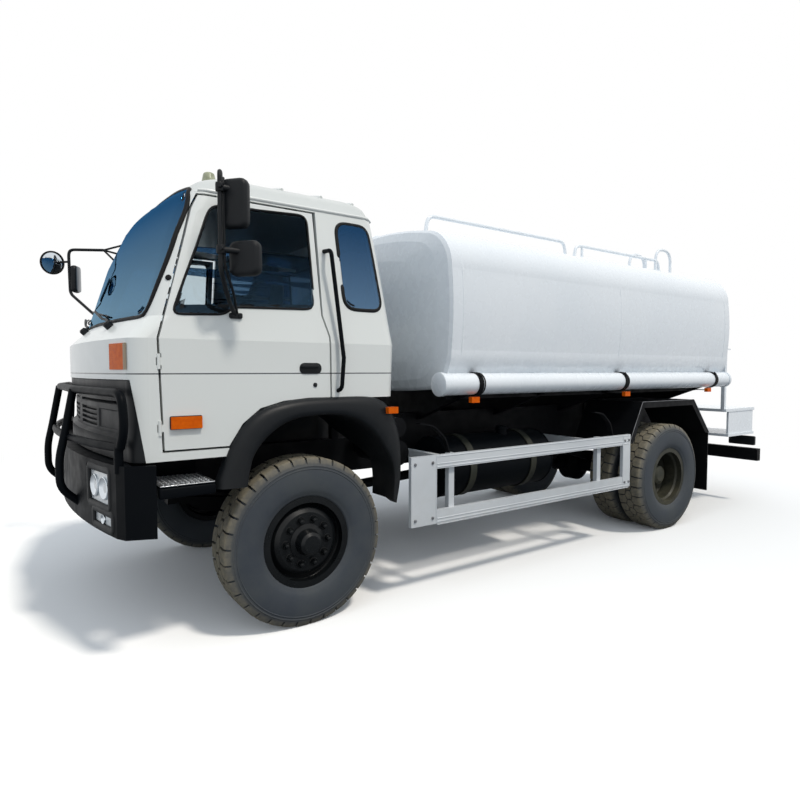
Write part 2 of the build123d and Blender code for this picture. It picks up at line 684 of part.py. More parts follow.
def cab_parts():
    """Cab shell, floor, roof, front panel, doors and all glass, cut from one form so that they line up."""
    outer = cab_body()
    cavity = cab_body(with_wall=True)
    skin = outer - cavity
    floor_cut = block((ahead(-700), ahead(1200)), (-1200, 1200), (1000, CAB_FLOOR_Z + FLOOR_THICKNESS))
    arch_deck = block((ahead(-700), ahead(470)), (-1200, 1200), (1000, ARCH_FLOOR_Z + FLOOR_THICKNESS))
    tunnel = block((ahead(-700), ahead(950)), (-TUNNEL_HALF_WIDTH - 30, TUNNEL_HALF_WIDTH + 30), (1000, TUNNEL_TOP_Z + 30))
    firewall = block((ahead(890), ahead(1300)), (-1200, 1200), (1000, GRILLE_TOP_Z + FLOOR_THICKNESS))
    roof_trim = block((ahead(-900), ahead(1300)), (-1300, 1300), (2690, 2900))
    under_arch = side_prism(ahead_all(ARCH_LINE + [(-700, 1000)]), -1200, 1200)
    under_tunnel = block(
        (ahead(-700), ahead(1040)), (-TUNNEL_HALF_WIDTH, TUNNEL_HALF_WIDTH), (1000, TUNNEL_TOP_Z)
    )
    under_floor = block((ahead(400), ahead(1010)), (-1200, 1200), (1000, CAB_FLOOR_Z))
    skin_space = cab_body(MOVING_GAP, with_wall=True)
    tumble = side_prism(ahead_all(DOOR_TUMBLE_GAP), 850, 1250)
    zones = both_sides((door_zone(DOOR_GAP) + tumble) - skin_space)
    front_cuts = under_arch + under_tunnel + grille_zone(0) + both_sides(corner_lamp_zone(0))

    side_window = offset_prism_y(REAR_SIDE_WINDOW, 0, 850, 1250)
    windscreen_hole = offset_prism_x(WINDSCREEN_OUTLINE, 0, ahead(400), ahead(1300))
    rear_hole = offset_prism_x(REAR_WINDOW, 0, ahead(-900), ahead(-400))
    door_relief, cab_relief = hinge_reliefs()
    door_leaves, cab_leaves = hinge_leaves()
    fixed = skin - front_cuts - zones - both_sides(side_window + cab_relief) - windscreen_hole - rear_hole
    floor = (cavity & fuse_all([floor_cut, arch_deck, tunnel, firewall])) - front_cuts - under_floor - zones

    roof_slab = block((ahead(-900), ahead(1300)), (-1300, 1300), (GUTTER_Z, 2900))
    front_slab = block((ahead(880), ahead(1300)), (-1300, 1300), (1000, BELT_Z))
    roof = (fixed & roof_slab) + (cavity & roof_trim)
    front = fixed & front_slab
    shell = fixed - roof_slab - front_slab + both_sides(cab_leaves)

    door = (skin & door_zone(0)) - door_relief + door_leaves
    window = offset_prism_y(DOOR_WINDOW, 0, 850, 1250)
    door = door - window
    pane = cab_body(GLASS_INSET) - cab_body(GLASS_INSET + GLASS_THICKNESS)
    door_glass = pane & offset_prism_y(DOOR_WINDOW, -GLASS_EDGE_GAP, 850, 1250)
    fixed_glass = pane & offset_prism_x(WINDSCREEN_OUTLINE, -GLASS_EDGE_GAP, ahead(400), ahead(1300))
    fixed_glass = fixed_glass + (pane & offset_prism_x(REAR_WINDOW, -GLASS_EDGE_GAP, ahead(-900), ahead(-400)))
    side_glass = pane & offset_prism_y(REAR_SIDE_WINDOW, -GLASS_EDGE_GAP, 850, 1250)
    fixed_glass = fixed_glass + both_sides(side_glass)
    return {
        "cab_shell": shell,
        "cab_floor": floor,
        "cab_roof": roof,
        "cab_front_panel": front,
        "door_left": door,
        "door_right": mirror(door, about=Plane.XZ),
        "door_glass_left": door_glass,
        "door_glass_right": mirror(door_glass, about=Plane.XZ),
        "cab_glass": fixed_glass,
    }


def grille():
    """Bowed black panel with four slots each side, set back from the cab's front."""
    panel = (cab_body(GRILLE_RECESS) - cab_body(GRILLE_RECESS + 22)) & grille_zone(SEAT_GAP)
    slots = []
    for row in range(GRILLE_SLOTS):
        z = GRILLE_SLOT_Z + row * GRILLE_SLOT_PITCH
        slots.append(block((ahead(960), ahead(1200)), (70, 430), (z, z + GRILLE_SLOT_HEIGHT)))
    return panel - both_sides(fuse_all(slots))


GRILLE_RECESS = 24
GRILLE_SLOTS = 4
GRILLE_SLOT_Z = 1225
GRILLE_SLOT_PITCH = 30
GRILLE_SLOT_HEIGHT = 15


# ---- bumper and bull bar ----
BUMPER_Z = (730, 1108)
BUMPER_FRONT = ahead(1200)
BUMPER_CORNER = (ahead(1075), 1100)
BUMPER_WRAP = [(ahead(1045), 1165), (ahead(905), 1220)]
BUMPER_WALL = 12
HEADLAMP_BOX = ((660, 1000), (868, 1072))
FOGLAMP_BOX = ((760, 1050), (752, 842))


def bumper_form(inset, z_from, z_to):
    """Solid between the bumper's front curve and its rear line, set in by an amount."""
    corner = (BUMPER_CORNER[0] - inset, BUMPER_CORNER[1] - inset * 0.4)
    wrap = [(x - inset * 0.7, y - inset) for x, y in BUMPER_WRAP]
    front = Edge.make_three_point_arc(
        (corner[0], corner[1], z_from), (BUMPER_FRONT - inset, 0, z_from), (corner[0], -corner[1], z_from)
    )
    right = [(corner[0], -corner[1])] + [(x, -y) for x, y in wrap]
    chain = right + [(x, y) for x, y in reversed(wrap)] + [corner]
    lines = [Edge.make_line((*a, z_from), (*b, z_from)) for a, b in zip(chain, chain[1:])]
    return Solid.extrude(Face(Wire([front] + lines)), Vector(0, 0, z_to - z_from))


def lamp_opening(spans, inset):
    """Box through the left half of the bumper, smaller by an inset."""
    y, z = spans
    return block((ahead(900), ahead(1300)), (y[0] + inset, y[1] - inset), (z[0] + inset, z[1] - inset))


def bumper():
    """Pressed steel bumper with wrapped ends, lamp openings and brackets to the rails."""
    low, high = BUMPER_Z
    skin = bumper_form(0, low, high) - bumper_form(BUMPER_WALL, low, high)
    skin = skin - block((ahead(800), ahead(906)), (-1195, 1195), (low, high))
    lips = bumper_form(0, high - BUMPER_WALL, high) + bumper_form(0, low, low + BUMPER_WALL)
    lips = lips - block((ahead(800), ahead(1010)), (-1400, 1400), (low, high))
    shell = skin + lips
    shell = shell - both_sides(lamp_opening(HEADLAMP_BOX, 0)) - both_sides(lamp_opening(FOGLAMP_BOX, 0))
    bracket = block((RAIL_FRONT_X, ahead(1172)), (RAIL_OUTER_Y - RAIL_FLANGE, RAIL_OUTER_Y), (860, 1040))
    return shell + both_sides(bracket)


def headlamps():
    """Head and fog lamp units seated in the bumper's openings."""
    low, high = BUMPER_Z
    slab = bumper_form(10, low, high) - bumper_form(90, low, high)
    units = [slab & lamp_opening(HEADLAMP_BOX, SEAT_GAP), slab & lamp_opening(FOGLAMP_BOX, SEAT_GAP)]
    return fuse_all([both_sides(unit) for unit in units])


BAR_R = 22.5


def bull_bar():
    """Bent tube guard in front of the grille, welded to the bumper's face."""
    nose_x = FRONT_X - BAR_R
    middle = Edge.make_three_point_arc(
        (ahead(1053), 1122, 1200), (ahead(1236), 0, 1200), (ahead(1053), -1122, 1200)
    )
    middle_tube = sweep(Plane(origin=middle @ 0, z_dir=middle % 0) * Circle(BAR_R), path=Wire([middle]))
    hoop = bent_tube(
        [
            (ahead(1053), 1122, 1200),
            (ahead(1075), 1010, 1478),
            (ahead(1185), 400, 1482),
            (ahead(1185), -400, 1482),
            (ahead(1075), -1010, 1478),
            (ahead(1053), -1122, 1200),
        ],
        BAR_R,
        110,
    )
    post = bent_tube(
        [
            (ahead(1186), 420, 1482),
            (ahead(1240), 420, 1200),
            (nose_x, 420, 1080),
            (nose_x, 420, 900),
            (ahead(1140), 420, 790),
        ],
        BAR_R,
        60,
    )
    low, high = BUMPER_Z
    side_post = rod((ahead(1060), 1112, 1200), (ahead(1060), 1100, high - 40), BAR_R)
    guard = fuse_all([middle_tube, hoop, both_sides(post), both_sides(side_post)])
    return guard - bumper_form(0, low, high)


# ---- lamps ----
MARKER_LAMPS = [
    # distance ahead, z, inner face: the first is on the wheel arch, the others on the cradle
    (-554, 1334, 1196),
    (-1303, 1378, 1165),
    (-3177, 1378, 1165),
    (-4638, 1386, 1165),
]


def marker_lamps():
    """Amber lamps in the cab's corners and along the sides, each with its bracket."""
    corner = (cab_body(-5) - cab_body(34)) & corner_lamp_zone(SEAT_GAP)
    lamps = [both_sides(corner)]
    for distance, z, y in MARKER_LAMPS:
        x = ahead(distance)
        lamps.append(both_sides(block((x - 38, x + 38), (y, y + 34), (z - 21, z + 21))))
    return fuse_all(lamps)


def door_lamp():
    """Amber lamp on the left door."""
    return block((ahead(655), ahead(815)), (CAB_HALF_WIDTH, CAB_HALF_WIDTH + 22), (1284, 1348))


def roof_beacon():
    """Amber and clear beacon with a tapered dome on the roof."""
    x = ahead(365)
    base = extrude(Plane.XY.offset(2790) * Pos(x, 0) * Circle(62), 22)
    dome = Pos(x, 0, 2812) * Solid.make_cone(55, 40, 74)
    return (base + dome) - cab_body(0)


# ---- steps and mudguards ----
STEP_X = (ahead(510), ahead(894))
STEP_Y = (830, 1215)
STEP_Z = (905, 984)


def entry_steps():
    """Step boxes below the doors with riser panels and brackets from the rails."""
    box = block(STEP_X, STEP_Y, STEP_Z)
    tread = block((STEP_X[0] + 8, STEP_X[1] - 8), (STEP_Y[0] + 60, STEP_Y[1] - 8), (STEP_Z[1], STEP_Z[1] + 8))
    riser = block((STEP_X[0] + 10, STEP_X[1] + 20), (1060, 1085), (STEP_Z[1], CAB_BOTTOM_Z + 30))
    arm = block((ahead(700), ahead(780)), (RAIL_OUTER_Y, STEP_Y[0]), (915, 975))
    return both_sides(fuse_all([box, tread, riser, arm]))


FLARE_OUTER = [
    (486, 940),
    (497, 1158),
    (421, 1282),
    (318, 1364),
    (176, 1403),
    (15, ARCH_FLOOR_Z - SEAT_GAP),
    (-440, ARCH_FLOOR_Z - SEAT_GAP),
    (-560, 1370),
    (-648, 1180),
    (-648, 881),
    (-612, 708),
]
FLARE_OPENING = [
    (-577, 736),
    (-594, 954),
    (-506, 1107),
    (-391, 1244),
    (-209, 1323),
    (31, 1321),
    (160, 1298),
    (284, 1224),
    (375, 1116),
    (412, 938),
]
LINER_INSET = 3
LINER_THICKNESS = 8
FLARE_Y = (1110, 1196)
LINER_Y = (560, FLARE_Y[0] + 20)


def offset_line(line, amount):
    """Open line of (x, z) points moved to its left by an amount."""
    moved = []
    for i, (x, z) in enumerate(line):
        x0, z0 = line[max(i - 1, 0)]
        x1, z1 = line[min(i + 1, len(line) - 1)]
        length = math.hypot(x1 - x0, z1 - z0)
        moved.append((x - (z1 - z0) / length * amount, z + (x1 - x0) / length * amount))
    return moved


def front_mudguards():
    """Black wheel arches: a broad flare outside and a thin liner over the wheel."""
    flare = side_prism(ahead_all(FLARE_OUTER + FLARE_OPENING), *FLARE_Y)
    line = FLARE_OPENING[:-1]
    inner = offset_line(line, LINER_INSET)
    outer = offset_line(line, LINER_INSET + LINER_THICKNESS)
    liner = side_prism(ahead_all(inner + outer[::-1]), *LINER_Y)
    return both_sides(flare + liner)


# ---- door furniture ----
def mirror_left():
    """Tall mirror bracket on the left door with two heads."""
    loop = bent_tube(
        [
            (ahead(560), 1125, 1900),
            (ahead(590), 1300, 1990),
            (ahead(600), 1330, 2110),
            (ahead(600), 1330, 2620),
            (ahead(560), 1240, 2640),
            (ahead(480), 1000, 2540),
        ],
        12,
        22,
    )
    foot = block((ahead(520), ahead(600)), (1121, 1140), (1880, 1915))
    upper = Pos(ahead(515), 1338, 2460) * Rot(0, 0, 40) * Box(66, 150, 290)
    lower = Pos(ahead(465), 1338, 2180) * Rot(0, 0, 40) * Box(70, 190, 205)
    upper_arm = rod((ahead(600), 1330, 2540), (ahead(520), 1335, 2540), 16)
    lower_arm = rod((ahead(600), 1330, 2215), (ahead(470), 1335, 2215), 16)
    return fuse_all([loop, foot, upper, lower, upper_arm, lower_arm]) - cab_body(0)


def mirror_right():
    """Long arm on the right windscreen pillar with a round and a flat mirror head."""
    arm = bent_tube(
        [
            (ahead(700), -985, 2400),
            (ahead(1020), -1110, 2475),
            (ahead(1150), -1270, 2500),
            (ahead(1150), -1280, 2110),
            (ahead(840), -1070, 1880),
        ],
        12,
        60,
    )
    prongs = [
        rod((ahead(1000), -1104, 2472), (ahead(650), -980, 2510), 9),
        rod((ahead(1000), -1104, 2472), (ahead(720), -1010, 2240), 9),
    ]
    round_head = rod((ahead(1140), -1350, 2420), (ahead(1105), -1345, 2420), 78)
    flat_head = Pos(ahead(1080), -1290, 2290) * Box(50, 160, 210)
    round_arm = rod((ahead(1150), -1272, 2400), (ahead(1122), -1348, 2420), 9)
    flat_arm = rod((ahead(1150), -1275, 2290), (ahead(1090), -1285, 2290), 12)
    head = fuse_all([arm, round_head, flat_head, round_arm, flat_arm] + prongs)
    return head - cab_body(0)


def grab_handles():
    """Bent bars on the cab's sides behind the doors."""
    bar = bent_tube(
        [
            (ahead(-150), 1010, 2340),
            (ahead(-150), 1140, 2330),
            (ahead(-205), 1196, 1670),
            (ahead(-190), 1196, 1480),
            (ahead(-190), 1120, 1460),
        ],
        13,
        34,
    )
    return both_sides(bar - cab_body(0))


# ---- cab interior ----
def seats():
    """Driver's seat and passenger bench: cushions and backs on plain bases."""
    pieces = []
    for y_from, y_to in ((420, 980), (-980, -420)):
        pieces.append(block((ahead(-440), ahead(160)), (y_from, y_to), (1640 + SEAT_GAP, 1760)))
        back = side_prism(ahead_all([(-440, 1760.3), (-355, 1760.3), (-435, 2400), (-515, 2400)]), y_from + 20, y_to - 20)
        pieces.append(back)
    return fuse_all(pieces)


def seat_bases():
    """Plinths below the seats."""
    pieces = []
    for y_from, y_to in ((440, 960), (-960, -440)):
        pieces.append(block((ahead(-330), ahead(120)), (y_from, y_to), (ARCH_FLOOR_Z + FLOOR_THICKNESS, 1640)))
    return fuse_all(pieces)


def dashboard():
    """Moulded dash below the windscreen, with the engine tunnel's console behind it."""
    top = 1860
    base = TUNNEL_TOP_Z + FLOOR_THICKNESS + SEAT_GAP
    outline = [(1075, top - 90), (1040, top), (720, top - 10), (690, top - 60), (700, base), (1075, base)]
    full = side_prism(ahead_all(outline), -1090, 1090)
    return full & cab_body(extra=4, with_wall=True)


def steering_wheel():
    """Rim, spokes and column on the left."""
    centre = Vector(ahead(560), 560, 1930)
    tilt = Vector(-0.42, 0, 0.907)
    plane = Plane(origin=centre, z_dir=tilt)
    ring = plane * Pos(0, 0, 0) * Solid.make_torus(225, 15)
    hub = plane * Pos(0, 0, -30) * Solid.make_cylinder(55, 40)
    spokes = [plane * Rot(0, 0, turn) * Pos(110, 0, -4) * Box(225, 30, 14) for turn in (0, 120, 240)]
    column = rod(tuple(centre - tilt * 20), tuple(centre - tilt * 330), 28)
    wheel = fuse_all([ring, hub] + spokes + [column])
    return wheel - dashboard()


# ---- tank and its fittings ----
TANK_SECTION = [
    # three (y, z) points for each arc round the left half, from the top down
    ((0, TANK_TOP_Z), (450, TANK_TOP_Z - 22), (860, TANK_TOP_Z - 88)),
    ((860, TANK_TOP_Z - 88), (1055, TANK_TOP_Z - 195), (1130, TANK_TOP_Z - 395)),
    ((1130, TANK_TOP_Z - 395), (TANK_HALF_WIDTH, 2020), (1128, 1740)),
    ((1128, 1740), (1050, 1540), (870, 1452)),
    ((870, 1452), (450, TANK_BOTTOM_Z + 8), (0, TANK_BOTTOM_Z)),
]


def tank_wire(x, scale):
    """Tank outline at one station, shrunk about the tank's middle."""
    mid_z = (TANK_TOP_Z + TANK_BOTTOM_Z) / 2
    edges = []
    for side in (1, -1):
        for arc in TANK_SECTION:
            edges.append(
                Edge.make_three_point_arc(*[(x, side * y * scale, mid_z + (z - mid_z) * scale) for y, z in arc])
            )
    return Wire(edges)


def tank_form(x_from, x_to, scale=1.0):
    """Straight length of the tank."""
    return Solid.extrude(Face(tank_wire(x_from, scale)), Vector(x_to - x_from, 0, 0))


def tank_head(x, direction):
    """Dished end, as a short run of shrinking sections."""
    wires = []
    for step, scale in ((0, 1.0), (0.25, 0.975), (0.6, 0.88), (0.88, 0.66), (1.0, 0.3)):
        wires.append(tank_wire(x + direction * HEAD_DEPTH * step, scale))
    return Solid.make_loft(wires, ruled=True)


MANHOLE_X = TANK_FRONT_X - 2020
MANHOLE_R = 250
COLLAR_TOP_Z = TANK_TOP_Z + 70
LID_THICKNESS = 16
LID_PIN_R = 6
LID_PIN_X = MANHOLE_X - MANHOLE_R - 35
LID_PIN_Z = COLLAR_TOP_Z + SEAT_GAP + LID_THICKNESS / 2
LID_LUG_HALF = 25


def tank_body():
    """White rounded tank with dished ends, a manhole collar and the lid's hinge ears."""
    barrel = tank_form(TANK_REAR_X, TANK_FRONT_X)
    collar = rod((MANHOLE_X, 0, TANK_TOP_Z - 60), (MANHOLE_X, 0, COLLAR_TOP_Z), MANHOLE_R)
    mouth = rod((MANHOLE_X, 0, TANK_TOP_Z + 5), (MANHOLE_X, 0, COLLAR_TOP_Z + 1), MANHOLE_R - 12)
    ear = block(
        (LID_PIN_X - 12, MANHOLE_X - MANHOLE_R + 8),
        (LID_LUG_HALF + 6, LID_LUG_HALF + 18),
        (COLLAR_TOP_Z - 50, LID_PIN_Z + 12),
    )
    ear = ear - rod((MANHOLE_X, 0, COLLAR_TOP_Z - 1), (MANHOLE_X, 0, COLLAR_TOP_Z + 90), MANHOLE_R + 20)
    pin = rod((LID_PIN_X, -LID_LUG_HALF - 18, LID_PIN_Z), (LID_PIN_X, LID_LUG_HALF + 18, LID_PIN_Z), LID_PIN_R)
    heads = tank_head(TANK_REAR_X, -1) + tank_head(TANK_FRONT_X, 0.35)
    return fuse_all([barrel, heads, collar, both_sides(ear), pin]) - mouth


def manhole_lid():
    """Round lid with a grip and a lug that turns on the collar's pin."""
    z = COLLAR_TOP_Z + SEAT_GAP
    lid = rod((MANHOLE_X, 0, z), (MANHOLE_X, 0, z + LID_THICKNESS), MANHOLE_R + 10)
    grip = rod((MANHOLE_X, 0, z + LID_THICKNESS), (MANHOLE_X, 0, z + 46), 40)
    lug = block((LID_PIN_X, MANHOLE_X - MANHOLE_R + 6), (-LID_LUG_HALF, LID_LUG_HALF), (z, z + LID_THICKNESS))
    knuckle = rod((LID_PIN_X, -LID_LUG_HALF, LID_PIN_Z), (LID_PIN_X, LID_LUG_HALF, LID_PIN_Z), 12)
    bore = rod((LID_PIN_X, -60, LID_PIN_Z), (LID_PIN_X, 60, LID_PIN_Z), LID_PIN_R + SEAT_GAP)
    return fuse_all([lid, grip, lug, knuckle]) - bore


def top_rails():
    """Side rails on the tank's top, a hoop and a taller hoop at the rear."""
    rail_y = 560
    foot_z = TANK_TOP_Z - 60
    spans = [(-1400, -2890, 2830), (-3130, -4480, 2830)]
    pieces = []
    for front, rear, top in spans:
        rail = bent_tube(
            [(ahead(front), rail_y, foot_z), (ahead(front), rail_y, top), (ahead(rear), rail_y, top), (ahead(rear), rail_y, foot_z)],
            16,
            60,
        )
        post = rod((ahead((front + rear) / 2), rail_y, foot_z), (ahead((front + rear) / 2), rail_y, top), 14)
        pieces.append(both_sides(rail + post))
    for x, half, top in ((-4700, 230, 2960),):
        hoop = bent_tube(
            [(ahead(x), half, foot_z), (ahead(x), half, top), (ahead(x), -half, top), (ahead(x), -half, foot_z)], 16, 110
        )
        pieces.append(hoop)
    return fuse_all(pieces) - tank_form(TANK_REAR_X, TANK_FRONT_X)


HOSE_TUBE_R = 80
HOSE_TUBE_Y = 1119
HOSE_TUBE_Z = 1492
HOSE_TUBE_X = (TANK_REAR_X + 40, TANK_FRONT_X + 110)
CLAMP_X = (TANK_FRONT_X - 230, (TANK_FRONT_X + TANK_REAR_X) / 2 - 25, TANK_REAR_X + 360)


def hose_tubes():
    """Closed white tubes that hold the suction hoses, one each side."""
    tube = rod((HOSE_TUBE_X[0], HOSE_TUBE_Y, HOSE_TUBE_Z), (HOSE_TUBE_X[1], HOSE_TUBE_Y, HOSE_TUBE_Z), HOSE_TUBE_R)
    return both_sides(tube)


CRADLE_BEAM_X = CLAMP_X + (TANK_FRONT_X - 1130,)


def tank_cradle():
    """Longitudinal beams on the rails with flared cross beams, tube clamps and lamp brackets."""
    inner_y = RAIL_OUTER_Y - RAIL_FLANGE
    beam = block((TANK_REAR_X + 40, TANK_FRONT_X - 60), (inner_y, RAIL_OUTER_Y), (RAIL_TOP_Z, 1240))
    pieces = [both_sides(beam)]
    outline = [(-1045, 1410), (-430, 1180), (430, 1180), (1045, 1410), (1045, 1475), (700, 1520), (-700, 1520), (-1045, 1475)]
    for x in CRADLE_BEAM_X:
        pieces.append(front_prism(outline, x - 30, x + 30))
    for x in CLAMP_X:
        ring = rod((x - 20, HOSE_TUBE_Y, HOSE_TUBE_Z), (x + 20, HOSE_TUBE_Y, HOSE_TUBE_Z), HOSE_TUBE_R + 8, HOSE_TUBE_R + SEAT_GAP)
        pieces.append(both_sides(ring))
    skirt = block((CLAMP_X[-1] - 30, TANK_FRONT_X - 90), (930, 960), (1372, 1402))
    pieces.append(both_sides(skirt))
    for distance, z, y in MARKER_LAMPS[1:]:
        x = ahead(distance)
        pieces.append(both_sides(block((x - 15, x + 15), (940, y), (z - 4, z + 4))))
    cradle = fuse_all(pieces)
    return cradle - tank_form(TANK_REAR_X, TANK_FRONT_X, 1.0005) - both_sides(hose_tube_space())


def hose_tube_space():
    """Space of the left hose tube with its seating gap."""
    return rod(
        (HOSE_TUBE_X[0] - 5, HOSE_TUBE_Y, HOSE_TUBE_Z),
        (HOSE_TUBE_X[1] + 5, HOSE_TUBE_Y, HOSE_TUBE_Z),
        HOSE_TUBE_R + SEAT_GAP,
    )


# ---- chassis sides ----
GUARD_Y = (1180, 1210)
GUARD_Z = (525, 1005)
GUARD_RAIL_HEIGHT = 95
GUARD_X = (ahead(-3215), ahead(-712))


def side_guards():
    """Rail guards between the wheels, with a broad front plate and arms from the frame rails."""
    z0, z1 = GUARD_Z
    top = block(GUARD_X, GUARD_Y, (z1 - GUARD_RAIL_HEIGHT, z1))
    bottom = block(GUARD_X, GUARD_Y, (z0, z0 + GUARD_RAIL_HEIGHT))
    front = block((GUARD_X[1] - 215, GUARD_X[1]), GUARD_Y, GUARD_Z)
    rear = block((GUARD_X[0], GUARD_X[0] + 110), GUARD_Y, GUARD_Z)
    arms = []
    for distance in (-1090, -2790):
        x = ahead(distance)
        arms.append(block((x - 25, x + 25), (GUARD_Y[0] - 40, GUARD_Y[0]), GUARD_Z))
        arms.append(block((x - 25, x + 25), (RAIL_OUTER_Y, GUARD_Y[0]), (z1 - 90, z1 - 30)))
    return both_sides(fuse_all([top, bottom, front, rear] + arms))


FUEL_TANK_R = 240
FUEL_TANK_Y = 755
FUEL_TANK_Z = 830
FUEL_TANK_X = (ahead(-2390), ahead(-1230))


def fuel_tank():
    """Cylindrical fuel tank on two brackets at the left rail, with straps and a cap."""
    drum = rod((FUEL_TANK_X[0], FUEL_TANK_Y, FUEL_TANK_Z), (FUEL_TANK_X[1], FUEL_TANK_Y, FUEL_TANK_Z), FUEL_TANK_R)
    cap = rod((ahead(-1950), FUEL_TANK_Y + 60, FUEL_TANK_Z + 200), (ahead(-1950), FUEL_TANK_Y + 60, FUEL_TANK_Z + 262), 45)
    pieces = [drum, cap]
    for x in (FUEL_TANK_X[0] + 240, FUEL_TANK_X[1] - 240):
        pieces.append(rod((x - 30, FUEL_TANK_Y, FUEL_TANK_Z), (x + 30, FUEL_TANK_Y, FUEL_TANK_Z), FUEL_TANK_R + 5))
        pieces.append(block((x - 30, x + 30), (RAIL_OUTER_Y, FUEL_TANK_Y), (FUEL_TANK_Z + 40, FUEL_TANK_Z + 200)))
    return fuse_all(pieces)


def air_tanks():
    """Air reservoirs behind the left front wheel on a bracket from the rail."""
    x = ahead(-745)
    tank = rod((x, 560, 1010), (x, 1010, 1010), 90)
    second = rod((x, 560, 1192), (x, 1010, 1192), 70)
    bracket = block((x - 25, x + 25), (RAIL_OUTER_Y, 600), (960, 1050))
    link = block((x - 20, x + 20), (620, 660), (1090, 1130))
    return fuse_all([tank, second, bracket, link])


def battery_box():
    """Battery box on the right side with a lid step."""
    x = (ahead(-1760), ahead(-1260))
    box = block(x, (-990, -520), (620, 930))
    lid = block((x[0] - 10, x[1] + 10), (-1000, -510), (930, 950))
    arm = block((x[0] + 60, x[1] - 60), (-520, -RAIL_OUTER_Y), (840, 930))
    return fuse_all([box, lid, arm])


def exhaust():
    """Silencer on the right with its down pipe and tail pipe."""
    z = 760
    can = rod((ahead(-2700), -720, z), (ahead(-1980), -720, z), 130)
    tail = rod((ahead(-2980), -720, z), (ahead(-2700), -720, z), 45)
    arm = block((ahead(-2420), ahead(-2360)), (-720, -RAIL_OUTER_Y), (z + 80, z + 120))
    return fuse_all([can, tail, arm])


# ---- rear end ----
REAR_GUARD_LINE = [
    # distance ahead of the rear axle, z
    (700, 909),
    (495, 1293),
    (-425, 1291),
    (-750, 929),
]
REAR_GUARD_INSIDE = [
    (-734, 918),
    (-419, 1279),
    (488, 1281),
    (689, 904),
]
CHEEK_INSIDE = [
    (-680, 929),
    (-400, 1235),
    (470, 1235),
    (635, 909),
]
REAR_GUARD_Y = (560, 1175)
FLAP_X = REAR_AXLE_X - 750


def rear_mudguards():
    """Angular steel guards over the twin wheels with hanging flaps."""
    band = side_prism(about_rear(REAR_GUARD_LINE + REAR_GUARD_INSIDE), *REAR_GUARD_Y)
    flap = block((FLAP_X, FLAP_X + 12), (REAR_GUARD_Y[0] + 20, REAR_GUARD_Y[1] - 5), (300, 928))
    cheek = side_prism(about_rear(REAR_GUARD_LINE + CHEEK_INSIDE), REAR_GUARD_Y[1] - 10, REAR_GUARD_Y[1])
    stays = []
    for distance in (390, -310):
        x = REAR_AXLE_X + distance
        stays.append(block((x - 20, x + 20), (RAIL_OUTER_Y, REAR_GUARD_Y[0] + 30), (1255, 1285)))
        stays.append(block((x - 20, x + 20), (RAIL_OUTER_Y, RAIL_OUTER_Y + 20), (1000, 1285)))
    return both_sides(fuse_all([band, flap, cheek] + stays))


def rear_platform():
    """White working platform behind the tank, on beams along the rail tops, with its plates and posts."""
    x0, x1 = PLATFORM_X
    deck = block((x0, x1), (-1090, 1090), (DECK_Z - 32, DECK_Z))
    low = block((x0, RAIL_REAR_X - 5), (-1090, 1090), (830, 860))
    ends = both_sides(block((x0 + 20, RAIL_REAR_X - 20), (1060, 1082), (860, DECK_Z - 32)))
    beam = block((x0 + 60, TANK_REAR_X + 30), (RAIL_OUTER_Y - RAIL_FLANGE, RAIL_OUTER_Y), (RAIL_TOP_Z, DECK_Z - 32))
    post = block((x1 - 35, x1 + 5), (1030, 1070), (DECK_Z, POST_TOP_Z))
    foot = block((x1 - 35, x1 + 5), (1030, 1070), (DECK_Z - 32, DECK_Z))
    cap = block((x1 - 90, x1 + 5), (1020, 1080), (POST_TOP_Z, POST_TOP_Z + 12))
    return fuse_all([deck, low, ends, both_sides(beam), both_sides(fuse_all([post, foot, cap]))])


PLATFORM_X = (ahead(-5930), ahead(-5240))
DECK_Z = 1150
POST_TOP_Z = 1825


def underrun_bar():
    """Black rear bar on two hangers from the rails."""
    bar = block((REAR_X, REAR_X + 75), (-1150, 1150), (505, 650))
    hanger = side_prism(
        [
            (REAR_X + 15, 540),
            (REAR_X + 60, 540),
            (RAIL_REAR_X + 160, RAIL_BOTTOM_Z),
            (RAIL_REAR_X + 20, RAIL_BOTTOM_Z),
        ],
        RAIL_OUTER_Y - 45,
        RAIL_OUTER_Y - 25,
    )
    return bar + both_sides(hanger)


def tail_lamps():
    """Rear lamp clusters and a red side lamp on each side."""
    x = REAR_X
    cluster = block((x - 0, x + 30), (820, 1090), (700, 790))
    plate = block((x + 30, x + 45), (780, 1110), (650, 800))
    return both_sides(cluster + plate)


def save(name, shape):
    """Write one node's STEP file."""
    export_step(shape, os.path.join("parts", name + ".step"))


